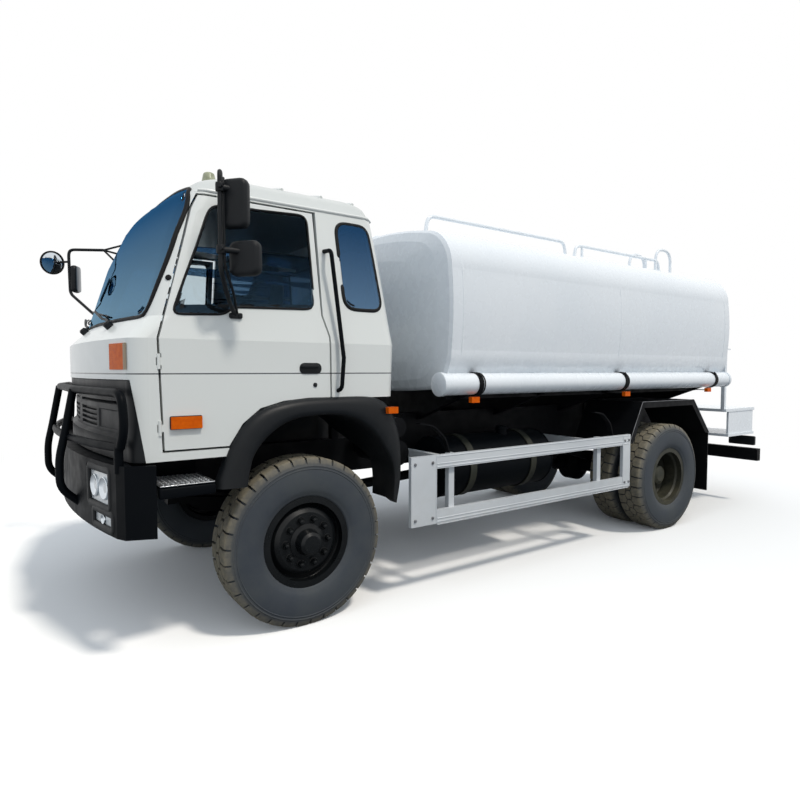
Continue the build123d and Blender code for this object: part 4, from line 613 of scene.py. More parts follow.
def surfaceOf(*sources, below=9.0):
    # search tree over the faces of these nodes, by name, or of pieces made here, up to a height
    points, faces = [], []
    for source in sources:
        mesh = (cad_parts[source] if isinstance(source, str) else source).data
        faces += [[v + len(points) for v in polygon.vertices] for polygon in mesh.polygons
                  if max(mesh.vertices[v].co.z for v in polygon.vertices) < below]
        points += [vertex.co.copy() for vertex in mesh.vertices]
    return BVHTree.FromPolygons(points, faces)


def laidOn(tree, starts, direction, pane=None, sunk=0.014):
    # points moved along a direction onto a surface, with its outward normals there; a pane of glass is met
    # first where a point lies inside its opening, and is raised by how far the pane is sunk
    places, normals = [], []
    for start in starts:
        place, normal, _, far = tree.ray_cast(Vector(start), Vector(direction))
        if pane:
            glass, glassNormal, _, glassFar = pane.ray_cast(Vector(start), Vector(direction))
            if glass is not None and (place is None or glassFar < far):
                glassNormal = -glassNormal if glassNormal.dot(Vector(direction)) > 0 else glassNormal
                place, normal = glass + glassNormal * sunk, glassNormal
        if place is None:
            place, normal, _, _ = tree.find_nearest(Vector(start) + Vector(direction))
        places.append(place)
        normals.append(-normal if normal.dot(Vector(direction)) > 0 else normal)
    return np.array(places), np.array(normals)


def alongLine(points, count=None, step=None):
    # line as evenly spaced points, given how many or how far apart; given a step, it is closed first
    points = np.array(points if count else [*points, points[0]], float)
    length = np.concatenate([[0], np.cumsum(np.linalg.norm(np.diff(points, axis=0), axis=1))])
    at = np.linspace(0, length[-1], count or int(length[-1] / step), endpoint=bool(count))
    return np.stack([np.interp(at, length, column) for column in points.T], axis=1)


def evenly(outline, step):
    # closed outline as evenly spaced points
    return alongLine(outline, step=step)


def softened(values, passes):
    # each point of a closed line moved towards the mean of its neighbours
    for _ in range(passes):
        values = (np.roll(values, 1, 0) + 2 * values + np.roll(values, -1, 0)) / 4
    return values


def grownBy(outline, amount):
    # closed evenly spaced outline moved outward in its plane
    along = unit(np.roll(outline, -1, 0) - np.roll(outline, 1, 0))
    area = np.sum(outline[:, 0] * np.roll(outline[:, 1], -1) - np.roll(outline[:, 0], -1) * outline[:, 1])
    return outline + amount * np.sign(area) * np.stack([along[:, 1], -along[:, 0]], axis=1)


def beading(path, normals, width, height):
    # domed rubber strip carried round a closed path on a surface
    along = unit(np.roll(path, -1, 0) - np.roll(path, 1, 0))
    across = unit(np.cross(normals, along))
    angle = np.linspace(0, np.pi, 7)
    wide = np.concatenate([np.cos(angle) * width / 2, [-width / 2, width / 2]])[:, None]
    tall = np.concatenate([np.sin(angle) * height, [-0.006, -0.006]])[:, None]
    rings = path[:, None] + wide * across[:, None] + tall * normals[:, None]
    return rings.reshape(-1, 3), [gridFaces(len(path), len(wide), True, True)]


# ---- tyres ----
tyreForm = {
    "pitches": 34,          # lugs round the tread
    "groove": 0.072,        # half the gap between lugs, as a share of the pitch
    "wall": 0.012,
    "depth": 0.015,
    "zigzag": 0.009,
    "slant": 0.9,           # how far the lugs lean along the tread, in pitches per metre
    "frontY": (0.98,),
    "rearY": (0.73, 1.05),
}
tyreTread = [
    # across, radius, and how far a gap between lugs moves the point in and towards the middle;
    # then the row's lugs (1 shoulder, 2 middle), its share of zigzag, its share of dust
    (0.000, 0.5275, -1.00, 0.0, 2, 0, 0.9),
    (0.025, 0.5275, -1.00, 0.0, 2, 1, 0.9),
    (0.027, 0.5130, 0.00, 0.0, 2, 1, 0.1),
    (0.033, 0.5130, 0.00, 0.0, 1, 1, 0.1),
    (0.035, 0.5275, -1.00, 0.0, 1, 1, 0.9),
    (0.070, 0.5275, -1.00, 0.0, 1, 0, 0.9),
    (0.100, 0.5272, -1.00, 0.0, 1, 0, 0.9),
    (0.110, 0.5240, -1.00, -0.1, 1, 0, 0.8),
    (0.117, 0.5130, -0.60, -0.5, 1, 0, 0.55),
    (0.125, 0.4970, -0.15, -0.6, 1, 0, 0.4),
]
# across, radius and share of dust down the side wall to the bead
tyreWall = [
    (0.1285, 0.4890, 0.2), (0.1310, 0.4800, 0.12), (0.1340, 0.4775, 0.14), (0.1340, 0.4735, 0.1),
    (0.1318, 0.4715, 0.06), (0.1330, 0.4625, 0.05), (0.1365, 0.4600, 0.08), (0.1365, 0.4565, 0.05),
    (0.1342, 0.4545, 0.03), (0.1370, 0.4350, 0.02), (0.1388, 0.4000, 0.02), (0.1375, 0.3650, 0.02),
    (0.1335, 0.3350, 0.02), (0.1270, 0.3110, 0.04), (0.1200, 0.3020, 0.05), (0.1195, 0.2960, 0.05),
    (0.1110, 0.2870, 0.05), (0.1043, 0.2853, 0.0), (0.1043, 0.2543, 0.0),
]
tyreRows = np.array(tyreTread + [(across, radius, 0, 0, 0, 0, dust) for across, radius, dust in tyreWall])


def tyrePart(axleX, middleY, form):
    # height field round the tread: shoulder lugs and middle lugs half a pitch apart, between zigzag grooves
    half = tyreRows[1:][::-1] * (-1, 1, 1, 1, 1, 1, 1)
    rows = np.concatenate([half, tyreRows])
    gap, wall = form["groove"], form["wall"]
    phase = np.array([-gap, -gap + wall, 0, gap - wall, gap])
    phase = np.concatenate([phase, phase + 0.5])
    phases = (phase + np.arange(form["pitches"])[:, None]).ravel()[None, :]
    across, radius, drop, inward, kind, zig, dust = (rows[:, i, None] for i in range(7))
    side = np.where(np.arange(len(rows))[:, None] < len(half), -1.0, 1.0)
    nearest = np.abs((phases + 0.5) % 1 - 0.5)
    middle = np.abs(phases % 1 - 0.5)
    inGap = np.where(kind == 1, nearest, np.where(kind == 2, middle, 1.0)) < gap - wall / 2
    wave = 1 - 4 * nearest
    y = across + side * (zig * form["zigzag"] * wave + inGap * inward * form["depth"])
    r = radius + inGap * drop * form["depth"]
    turn = 2 * np.pi * (phases + form["slant"] * np.abs(across)) / form["pitches"]
    points = np.stack([axleX + r * np.sin(turn), middleY + y, axleZ + r * np.cos(turn)], axis=-1)
    dusty = np.where(inGap & (drop < 0), 0.08, dust)
    return (points.reshape(-1, 3), [gridFaces(*points.shape[:2], True, True)]), dusty.ravel()


for side, word in ((1, "left"), (-1, "right")):
    for name, body, node, axleX, middles in (
            ("frontTyre", "front_wheel_", "front_tyre_", frontAxleX, tyreForm["frontY"]),
            ("rearTyres", "rear_wheels_", "rear_tyres_", rearAxleX, tyreForm["rearY"])):
        parts, dusty = zip(*[tyrePart(axleX, side * y, tyreForm) for y in middles])
        piece = addPiece(name + word.capitalize(), list(parts), "tyre", body + word, 40, np.concatenate(dusty))
        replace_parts(piece, node + word)
print("tyres made")


# ---- seats ----
seatForm = {
    "cushion": (0.60, 0.56, 0.145),
    "back": (0.15, 0.54, 0.66),
    "headrest": (0.10, 0.30, 0.17),
    # how far behind the cushion's middle each part is, and its height
    "middles": ((0.0, 1.712), (-0.30, 2.075), (-0.365, 2.475)),
    "posts": ((-0.35, 2.36), (-0.36, 2.44)),
    "puff": (0.34, 0.34, 0.45),     # lower is boxier
    "lean": (-3, -7, -7),
    "channels": (-0.13, 0.13),
    "seatX": -0.145,        # ahead of the front axle
    "seatY": 0.70,
}


def seatParts(form):
    # cushion, leaning back and headrest on one centre line, and the headrest's two posts
    x, y = ahead(form["seatX"]), form["seatY"]
    sewn = ((form["channels"], 0.012), (form["channels"], 0.008), ((), 0.0))
    rows = zip(("cushion", "back", "headrest"), form["middles"], form["puff"], form["lean"], sewn)
    parts = [cushion(form[part], puff, (x + back, y, z), (0, lean, 0), *lines)
             for part, (back, z), puff, lean, lines in rows]
    return parts + [tube([(x + back, y + side, z) for back, z in form["posts"]], 0.007, (0, 1, 0), 8)
                    for side in (-0.06, 0.06)]


benchForm = dict(seatForm, cushion=(0.60, 0.60, 0.145), back=(0.15, 0.58, 0.66), channels=(-0.15, 0.0, 0.15),
                 seatY=-seatForm["seatY"])
driverSeat, benchSeat = (addPiece(name, seatParts(form), "cloth", angle=50)
                         for name, form in (("driverSeat", seatForm), ("passengerSeat", benchForm)))
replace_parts(driverSeat, "seats")

# ---- roof: rounder than the plain one that it stands for ----
roofForm = {
    # height, half width, front and rear from the front axle, corner radius
    "sections": [(2.592, 1.000, 0.742, -0.565, 0.110), (2.700, 0.890, 0.622, -0.585, 0.130),
                 (2.748, 0.800, 0.540, -0.555, 0.140), (2.790, 0.620, 0.420, -0.480, 0.150),
                 (2.797, 0.300, 0.160, -0.260, 0.120), (2.798, 0.050, 0.030, -0.060, 0.020)],
    "rounding": 0.045,
    "sag": 0.103,           # the front falls back by this times the square of y
}


def roofRing(z, half, front, rear, corner, sag):
    # plan outline at one height: bowed front, quarter circles at the corners, straight sides and rear
    turn = np.linspace(0, np.pi / 2, 8)
    edge = half - corner
    flat = np.linspace(0, edge, 12)[:-1]
    y = np.concatenate([flat, edge + corner * np.sin(turn), edge + corner * np.cos(turn)])
    x = np.concatenate([front - sag * flat ** 2,
                        front - sag * edge ** 2 - corner * (1 - np.cos(turn)) - 0.08 * corner * np.sin(turn),
                        rear + corner * (1 - np.sin(turn))])
    x, y = np.concatenate([x, x[:0:-1]]), np.concatenate([y, -y[:0:-1]])
    return np.stack([ahead(x), y, np.full(len(x), z)], axis=1)


def roofParts(form):
    rows = filleted(form["sections"], form["rounding"], 6)
    return [loft(np.stack([roofRing(*row, form["sag"]) for row in rows]))]


roof = addPiece("roofSkin", roofParts(roofForm), "shadedRoofPaint", angle=20)
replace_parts(roof, "cab_roof")

# ---- windows: panes bonded over the openings, with their dark borders and rubber seals ----
windowForm = {
    "grow": 0.004, "width": 0.026, "height": 0.008,     # the rubber's middle outside the edge, and its section
    "step": 0.018, "sunk": 0.014,
    "lap": 0.008,           # how far the black border reaches into the opening
    "border": 0.004,        # and past the edge that shows
    "flange": 0.012,        # how far the painted flange reaches past the opening
    "glass": (0.0025, 0.0055),      # heights of the pane's back and face over the plain one
    "smooth": 8,
}
# for each window: the edge that shows, and the opening behind it
screenHalf = [(0.985, 1.882), (1.018, 1.893), (1.032, 1.925), (1.036, 1.990), (1.035, 2.100), (1.030, 2.200),
              (1.019, 2.300), (1.001, 2.400), (0.980, 2.500), (0.945, 2.580), (0.915, 2.608), (0.870, 2.628),
              (0.800, 2.640), (0.650, 2.668), (0.420, 2.695)]
windows = {
    "door": ([(0.788, 1.893), (0.722, 2.060), (0.632, 2.280), (0.562, 2.470), (0.532, 2.518), (-0.030, 2.548),
              (-0.046, 2.530), (-0.046, 1.984), (-0.030, 1.966), (0.465, 1.950), (0.505, 1.905)],
             [(0.760, 1.935), (0.612, 2.470), (0.498, 2.520), (-0.060, 2.540), (-0.048, 1.985)]),
    "side": ([(-0.254, 2.500), (-0.285, 2.535), (-0.455, 2.535), (-0.488, 2.500), (-0.537, 2.020), (-0.510, 1.985),
              (-0.300, 1.985), (-0.266, 2.020)],
             [(-0.244, 2.535), (-0.484, 2.535), (-0.537, 2.010), (-0.265, 2.010)]),
    "screen": ([*screenHalf, *((-y, z) for y, z in screenHalf[::-1])],
               [(1.010, 1.905), (0.925, 2.575), (-0.925, 2.575), (-1.010, 1.905)]),
    "rear": ([(-0.45, 2.05), (0.45, 2.05), (0.43, 2.43), (-0.43, 2.43)],
             [(-0.44, 2.06), (0.44, 2.06), (0.42, 2.42), (-0.42, 2.42)]),
}
skinLeft = surfaceOf("cab_shell", "door_left")
skinRight = surfaceOf("cab_shell", "door_right")
frontSkin = surfaceOf("cab_shell", roof, "cab_front_panel")
panes = surfaceOf("cab_glass", "door_glass_left", "door_glass_right", below=2.594)


def windowParts(name, tree, way, form):
    # the way is the side that the window is on; returns the pane, the black border, the seal and
    # the painted flange that fills the opening where it is larger than the edge that shows
    shown, opening = windows[name]
    across, sign = way
    inward = (0, -sign, 0) if across == "side" else (-sign, 0, 0)

    def lay(flat, lift, passes):
        # outline laid on the cab from the window's side
        starts = [(a, sign * 1.5, z) if across == "side" else (sign * 1.4, a, z) for a, z in flat]
        path, normals = laidOn(tree, forward(starts), inward, panes, form["sunk"])
        normals = unit(softened(normals, form["smooth"]))
        return softened(path, passes) + normals * lift, normals

    edge = softened(evenly(shown, form["step"]), 2)
    middle = edge.mean(0)
    hole = evenly(opening, 0.004) - middle
    angle, reach = np.arctan2(hole[:, 1], hole[:, 0]), np.linalg.norm(hole, axis=1)
    order = np.argsort(angle)
    toEdge = edge - middle
    holeReach = np.interp(np.arctan2(toEdge[:, 1], toEdge[:, 0]), angle[order], reach[order], period=2 * np.pi)
    edgeReach = np.linalg.norm(toEdge, axis=1)

    def strip(near, far, low, high):
        # closed flat ring between two reaches from the window's middle
        near, far = (middle + toEdge * (reach / edgeReach)[:, None] for reach in (near, far))
        rings = [lay(near, low, 1)[0], lay(far, low, 1)[0], lay(far, high, 1)[0], lay(near, high, 1)[0]]
        return np.stack(rings).reshape(-1, 3), [gridFaces(4, len(edge), True, True)]

    border = strip(np.minimum(holeReach - form["lap"], edgeReach), edgeReach + form["border"], -0.001, 0.0012)
    flange = strip(edgeReach - 0.002, np.maximum(holeReach + form["flange"], edgeReach + 0.003), -0.001, 0.0008)
    shares = (0.04, 0.25, 0.5, 0.68, 0.78, 0.84, 0.88, 0.91, 0.935, 0.955, 0.975, 0.99, 1.0)
    back, face = form["glass"]
    rings = [lay(middle + toEdge * share, face, 1)[0] for share in shares]
    rings += [lay(middle + toEdge * share, back, 1)[0] for share in shares[::-1]]
    path, normals = lay(grownBy(edge, form["grow"]), 0.0, 3)
    return loft(np.stack(rings)), border, beading(path, normals, form["width"], form["height"]), flange


screenForm = dict(windowForm, width=0.029, height=0.012, smooth=12)
doorForm = dict(windowForm, width=0.015, height=0.008, grow=0.002)
fixedWindows = [
    windowParts("screen", frontSkin, ("front", 1), screenForm),
    windowParts("rear", frontSkin, ("front", -1), windowForm),
    windowParts("side", skinLeft, ("side", 1), windowForm),
    windowParts("side", skinRight, ("side", -1), windowForm),
]
screenPane = addPiece("windscreenPane", [fixedWindows[0][0]], "frontGlass", angle=60)
rearPanes = addPiece("rearPanes", [parts[0] for parts in fixedWindows[1:]], "rearGlass", angle=60)
for pane in (screenPane, rearPanes):
    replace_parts(pane, "cab_glass")
addPiece("cabSeals", [part for parts in fixedWindows for part in parts[1:3]], "seal", angle=60)
addPiece("cabFlanges", [parts[3] for parts in (fixedWindows[0], *fixedWindows[2:])], "cabPaint", angle=60)
for side, sign, tree in (("left", 1, skinLeft), ("right", -1, skinRight)):
    pane, border, seal, flange = windowParts("door", tree, ("side", sign), doorForm)
    body = "door_" + side
    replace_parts(addPiece(side + "DoorPane", [pane], "sideGlass", body, 60), "door_glass_" + side)
    addPiece(side + "DoorSeal", [border, seal], "seal", body, 60)
    addPiece(side + "DoorFlange", [flange], "cabPaint", body, 60)

handleForm = {
    "place": (0.0, 1.152, 1.605),
    "tray": (0.145, 0.066, 0.008),
    "grip": (0.118, 0.022, 0.018),
}


def handleParts(form):
    # oval tray let into the door with a grip across it and a key barrel below
    x, y, z = forward([form["place"]])[0]
    return [
        roundedBox(form["tray"], 0.03, 0.003, (x, y, z), (90, 0, 0)),
        roundedBox(form["grip"], 0.010, 0.006, (x + 0.008, y + 0.011, z + 0.012), (90, 0, 0)),
        peg(0.013, 0.0, 0.007, (x - 0.03, y - 0.002, z - 0.10), (0, 1, 0), 16, (0.004, 0.002)),
    ]


onDoors("doorHandle", handleParts(handleForm), "plastic")

wiperForm = {
    "pivots": (0.62, -0.10),
    # y from the pivot and height of each end of the arm and of the blade
    "arm": ((0.0, 1.842), (-0.46, 1.955)),
    "blade": ((-0.16, 1.912), (-0.74, 1.985)),
}
glassTree = surfaceOf(screenPane, "cab_shell", "cab_front_panel")


def wiperParts(form):
    # for each wiper: spindle cap, bent arm laid on the glass, and blade with its rubber
    parts = []
    for pivot in form["pivots"]:
        def onGlass(line, count):
            ends = [Vector((0, pivot + y, z)) for y, z in line]
            between = [ends[0].lerp(ends[1], t) for t in np.linspace(0, 1, count)]
            return laidOn(glassTree, [(ahead(1.6), p.y, p.z) for p in between], (-1, 0, 0))

        places, normals = onGlass(form["arm"], 7)
        lifted = places + normals * np.linspace(0.012, 0.034, 7)[:, None]
        parts += [tube(lifted, 0.008, (0, 0, 1), 8),
                  peg(0.024, 0.0, 0.038, places[0], normals[0], 18, (0.009, 0.010))]
        places, normals = onGlass(form["blade"], 12)
        parts += [tube(places + normals * 0.010, 0.006, (0, 0, 1), 8),
                  tube(places[1:-1] + normals[1:-1] * 0.024, 0.0045, (0, 0, 1), 8)]
    return parts


addPiece("wipers", wiperParts(wiperForm), "plastic")

# drip rails along the roof's edge, the pressed ribs above them, and the plugs in the pillars
gutterForm = {"height": 2.598, "from": 0.60, "to": -0.60, "out": 0.006, "radius": 0.010}
ribForm = {"x": (0.30, 0.02, -0.26, -0.50), "y": (0.55, 0.80), "out": 0.002, "radius": 0.012}
plugForm = {"places": ((0.684, 2.386), (0.792, 2.086)), "radius": 0.016}
roofTree = surfaceOf(roof)


def gutterParts(form):
    # small bent strip that stands out over the doors and turns down behind
    along = np.linspace(form["from"], form["to"], 26)
    places, normals = laidOn(roofTree, [(ahead(x), 1.5, form["height"]) for x in along], (0, -1, 0))
    return [tube(places + normals * form["out"], form["radius"], (0, 0, 1), 10)]


def roofRibs(form):
    # short pressed ribs across the roof's shoulder
    parts = []
    for x in form["x"]:
        places, normals = laidOn(roofTree, [(ahead(x), y, 3.0) for y in np.linspace(*form["y"], 6)], (0, 0, -1))
        parts.append(tube(places + normals * form["out"], form["radius"], (1, 0, 0), 10))
    return parts


addPiece("roofTrim", bothSides(gutterParts(gutterForm) + roofRibs(ribForm)), "cabPaint")


def pillarPlugs(form):
    # round rubber plugs pushed into the front pillars
    places, normals = laidOn(skinLeft, forward([(x, 1.5, z) for x, z in form["places"]]), (0, -1, 0))
    return [peg(form["radius"], -0.004, 0.007, place, normal, 16, (0.005, 0.003))
            for place, normal in zip(places, normals)]


addPiece("pillarPlugs", bothSides(pillarPlugs(plugForm)), "seal")
print("cab seals and trim made")
# ---- mirrors and lamps ----
leftMirrorForm = {
    # bracket: post and thinner stay, as points ahead of the front axle
    "post": [(0.452, 1.125, 1.900), (0.530, 1.240, 1.985), (0.594, 1.330, 2.110),
             (0.594, 1.330, 2.610), (0.560, 1.240, 2.636), (0.480, 1.000, 2.540)],
    "stay": [(0.438, 1.125, 1.905), (0.500, 1.245, 2.010), (0.572, 1.322, 2.140),
             (0.572, 1.322, 2.590), (0.530, 1.200, 2.600), (0.475, 1.020, 2.545)],
    "clamps": (2.215, 2.530),
    "footBolts": (0.428, 0.470),
    # size, corner, edge and place of each head, then of each silvered face
    "heads": [((0.256, 0.150, 0.066), 0.038, 0.024, (0.515, 1.338, 2.455)),
              ((0.185, 0.176, 0.068), 0.040, 0.026, (0.465, 1.338, 2.180))],
    "faces": [((0.225, 0.122, 0.006), 0.018, 0.002, (0.4885, 1.3155, 2.455)),
              ((0.155, 0.146, 0.006), 0.020, 0.002, (0.4378, 1.3148, 2.180))],
    "turn": (0, 90, 40),
}
rightMirrorForm = {
    "arm": [(0.775, -1.150, 2.604), (1.005, -1.262, 2.600), (1.022, -1.270, 2.570),
            (1.017, -1.270, 2.236), (0.868, -1.150, 2.068), (0.800, -1.030, 1.985)],
    # near where the three prongs and the foot meet the cab
    "prongs": [(0.520, -0.900, 2.680), (0.590, -0.960, 2.530), (0.640, -0.980, 2.420)],
    "foot": (0.790, -1.000, 1.970),
    "round": (1.135, -1.352, 2.492),
    "roundFacing": (-0.36, 0.92, -0.12),
    "roundRadius": 0.084,
    "roundArm": (1.020, -1.270, 2.500),
    "flatHead": ((0.225, 0.120, 0.048), 0.034, 0.018, (0.975, -1.285, 2.360)),
    "flatFace": ((0.210, 0.106, 0.006), 0.026, 0.002, (0.9525, -1.275, 2.36)),
    "flatArm": [(1.018, -1.270, 2.370), (0.975, -1.280, 2.370)],
    "turn": (0, 90, -24),
}


def slab(size, corner, edge, place, turn=(0, 0, 0)):
    # rounded box whose place is measured from the front axle
    return roundedBox(size, corner, edge, forward([place])[0], turn)


def leftMirror(form):
    # bent post with two rounded heads on their arms, standing off a foot on the door
    return [
        tube(filleted(forward(form["post"]), 0.035), 0.012, (0.8, -0.6, 0)),
        slab((0.074, 0.032, 0.021), 0.010, 0.004, (0.449, 1.130, 1.898), (90, 0, 0)),
        *(slab(*head, form["turn"]) for head in form["heads"]),
        tube(forward([(0.594, 1.330, 2.530), (0.520, 1.335, 2.530)]), 0.016),
        tube(forward([(0.594, 1.330, 2.215), (0.470, 1.335, 2.215)]), 0.016),
    ]


def footing(place):
    # nearest place on the cab's skin, where a stay is bolted down
    return min((tree.find_nearest(place) for tree in (frontSkin, skinRight)), key=lambda hit: hit[3])[0]


def rightMirror(form):
    # arm from the cab's edge on three prongs and a foot, a round dished head and a flat head
    place = np.array(forward([form["round"]])[0])
    face = unit(np.array(form["roundFacing"]))
    arm = forward(form["arm"])
    head = [(0.092, 0.0), (0.094, -0.010), (0.088, -0.020), (0.070, -0.032), (0.040, -0.040), (0.001, -0.042)]
    return [
        tube(filleted(arm, 0.035), 0.012, (0.6, 0.8, 0)),
        *(tube([arm[0], footing(end)], 0.008) for end in forward(form["prongs"])),
        tube([arm[-1], footing(forward([form["foot"]])[0])], 0.014),
        turned(head, place, face, 40),
        slab(*form["flatHead"], form["turn"]),
        tube([forward([form["roundArm"]])[0], place - face * 0.030], 0.009),
        tube(forward(form["flatArm"]), 0.012),
    ]


def mirrorRim(form):
    # rubber rim round the round mirror
    ring = [(0.088, -0.008), (0.097, -0.006), (0.097, 0.006), (0.088, 0.009), (0.084, 0.004)]
    return [turned(ring, forward([form["round"]])[0], form["roundFacing"], 40, closed=True)]


def mirrorDome(form):
    # silvered face of the round mirror: height falls from the middle with the square of the radius
    edge = form["roundRadius"]
    dome = [(r, 0.012 * (1 - (r / edge) ** 2) + 0.0015) for r in np.linspace(0.001, edge, 9)[::-1]]
    return [turned([(edge, 0.0)] + dome, forward([form["round"]])[0], form["roundFacing"], 40)]


def mirrorTrim(form):
    # thinner stay of the bracket, clamps and hinge bolts on its post, and two foot bolts
    parts = [tube(filleted(forward(form["stay"]), 0.05), 0.007, (0.8, -0.6, 0), 10)]
    clamp = [(0.001, -0.022), (0.020, -0.022), (0.022, -0.016), (0.022, 0.016), (0.020, 0.022), (0.001, 0.022)]
    for z in form["clamps"]:
        parts.append(turned(clamp, (ahead(0.594), 1.330, z), (0, 0, 1), 18))
        parts.append(peg(0.011, -0.012, 0.026, (ahead(0.594), 1.345, z), (0.5, 0.85, 0)))
    return parts + [peg(0.010, 0, 0.007, (ahead(x), 1.140, 1.898)) for x in form["footBolts"]]


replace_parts(addPiece("leftMirror", leftMirror(leftMirrorForm), "plastic", "door_left"), "mirror_left")
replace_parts(addPiece("rightMirror", rightMirror(rightMirrorForm), "plastic"), "mirror_right")
addPiece("mirrorRimRight", mirrorRim(rightMirrorForm), "seal")
addPiece("mirrorFaceRight", mirrorDome(rightMirrorForm), "mirrorSilver", angle=60)
addPiece("mirrorFlatRight", [slab(*rightMirrorForm["flatFace"], rightMirrorForm["turn"])], "mirrorShade")
addPiece("mirrorFacesLeft", [slab(*face, leftMirrorForm["turn"]) for face in leftMirrorForm["faces"]],
         "mirrorSilver", "door_left")
addPiece("mirrorTrimLeft", mirrorTrim(leftMirrorForm), "plastic", "door_left")

lampForm = {
    # y and z of each lamp's middle, and its width and height
    "lamps": [((0.852, 0.965), (0.325, 0.206)), ((0.905, 0.797), (0.290, 0.090))],
    "frame": 0.042,
    # y, z and radius of each round reflector
    "reflectors": [(0.780, 0.965, 0.062), (0.922, 0.965, 0.062), (0.905, 0.797, 0.026)],
    "doorBezel": ((0.168, 0.072, 0.010), 0.008, 0.003, (0.735, 1.153, 1.316)),
}
bumperTree = surfaceOf("bumper", "headlamps")


def lampSeat(y, z, out):
    # where a lamp sits on the bumper's face, and the way it faces, square to the upright
    places, normals = laidOn(bumperTree, forward([(1.6, y, z)]), (-1, 0, 0))
    facing = unit(normals[0] * (1, 1, 0))
    return places[0] + facing * out, math.atan2(facing[1], facing[0])


def lampBezels(form):
    # dark frames round the lamps
    parts = []
    for place, size in form["lamps"]:
        at, spin = lampSeat(*place, 0.004)
        outline = np.array([(-1, -1), (1, -1), (1, 1), (-1, 1)]) * np.array(size) / 2
        path = softened(evenly(outline, 0.012), 3)
        points = at + path[:, :1] * (-math.sin(spin), math.cos(spin), 0) + path[:, 1:] * (0, 0, 1)
        normals = np.tile((math.cos(spin), math.sin(spin), 0.0), (len(points), 1))
        parts.append(beading(points, normals, form["frame"], 0.010))
    return parts


def reflectors(form):
    # two round reflectors side by side in each headlamp and one in the fog lamp
    parts = []
    for y, z, r in form["reflectors"]:
        at, spin = lampSeat(y, z, 0.002)
        profile = [(r, -0.004), (r, 0.006), (r * 0.93, 0.008), (r * 0.80, 0.001), (r * 0.4, -0.002), (0.001, -0.003)]
        parts.append(turned(profile, at, (math.cos(spin), math.sin(spin), 0), 36))
    return parts


addPiece("lampBezels", bothSides(lampBezels(lampForm)), "plastic", angle=60)
addPiece("lampReflectors", bothSides(reflectors(lampForm)), "mirrorSilver", angle=50)
onDoors("doorLampBezel", [slab(*lampForm["doorBezel"], (90, 0, 0))], "plastic")

# ---- black front: a panel bowed with the cab, its sunk middle, slots and hatches worked out as depths ----
grilleForm = {
    "front": 1.133, "sag": 0.103, "half": 1.150, "corner": 0.090,
    "heights": (1.116, 1.543),
    "ends": (0.935, 1.000),     # where it stops on the cab's sides, at the bottom and the top
    "recess": 0.006, "sunk": 0.026, "edge": 0.010, "thick": 0.040,
    "panel": (1.030, 1.238, 1.478, 0.070),      # half width, bottom, top, corner radius
    # y range, z range and depth of each slot and of the hatch, on the left half
    "slots": [*((0.070, 0.500, z, z + 0.015, 0.020) for z in (1.268, 1.298, 1.328, 1.358)),
              (0.070, 0.960, 1.412, 1.422, 0.020), (0.560, 0.930, 1.268, 1.372, 0.007)],
}


def boxDistance(y, z, low, high, bottom, top, corner):
    # how far a point is outside a box with round corners; negative inside
    dy = np.abs(y - (low + high) / 2) - (high - low) / 2 + corner
    dz = np.abs(z - (bottom + top) / 2) - (top - bottom) / 2 + corner
    return np.hypot(np.maximum(dy, 0), np.maximum(dz, 0)) + np.minimum(np.maximum(dy, dz), 0) - corner


def grilleParts(form):
    # for each height: the bowed front, then round the corner as far as the black reaches
    corner, edge = form["corner"], form["half"] - form["corner"]
    z = np.arange(*form["heights"], 0.005)[:, None]
    end = np.interp(z, form["heights"], form["ends"])
    edgeX = form["front"] - form["sag"] * edge ** 2
    most = np.arccos(np.clip((end - edgeX + corner) / corner, -0.99, 0.99))
    flatY = np.linspace(-edge, edge, 231)
    turn = most * np.linspace(0, 1, 9)[1:]
    leftX, leftY = edgeX - corner * (1 - np.cos(turn)), edge + corner * np.sin(turn)
    wide = np.broadcast_to(flatY, (len(z), len(flatY)))
    x = np.hstack([leftX[:, ::-1], form["front"] - form["sag"] * wide ** 2, leftX])
    y = np.hstack([-leftY[:, ::-1], wide, leftY])
    normalX = np.hstack([np.cos(turn)[:, ::-1], np.ones_like(wide), np.cos(turn)])
    normalY = np.hstack([-np.sin(turn)[:, ::-1], 2 * form["sag"] * wide, np.sin(turn)])
    size = np.hypot(normalX, normalY)
    half, low, high, cornerRadius = form["panel"]
    outside = boxDistance(y, z, -half, half, low, high, cornerRadius)
    depth = form["recess"] + form["sunk"] * np.clip(0.5 - outside / form["edge"], 0, 1)
    for y0, y1, z0, z1, deep in form["slots"]:
        depth = depth + deep * np.clip(0.5 - boxDistance(np.abs(y), z, y0, y1, z0, z1, 0.006) / 0.005, 0, 1)
    back = form["recess"] + form["sunk"] + form["thick"]
    face, rear = (np.stack([ahead(x - normalX / size * d), y - normalY / size * d, np.broadcast_to(z, x.shape)],
                           axis=-1) for d in (depth, back))
    return [loft(np.concatenate([face, rear[:, ::-1]], axis=1))]


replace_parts(addPiece("grillePanel", grilleParts(grilleForm), "plastic", angle=40), "grille")

# ---- beacon, rails and bars whose forms follow the real ones more closely than the plain nodes ----
beaconForm = {"place": (0.358, 0.392, 0), "base": 0.058, "lens": 0.050, "top": 0.038, "height": 2.902}


def beaconDome(form):
    # tapered dome with a rounded crown
    r, top, z = form["lens"], form["top"], form["height"]
    profile = [(r - 0.006, 2.815), (r, 2.822), (r, 2.828), (top, z - 0.016), (top - 0.004, z - 0.006),
               (top - 0.014, z), (0.001, z + 0.001)]
    return [turned(profile, forward([form["place"]])[0], (0, 0, 1), 40)]


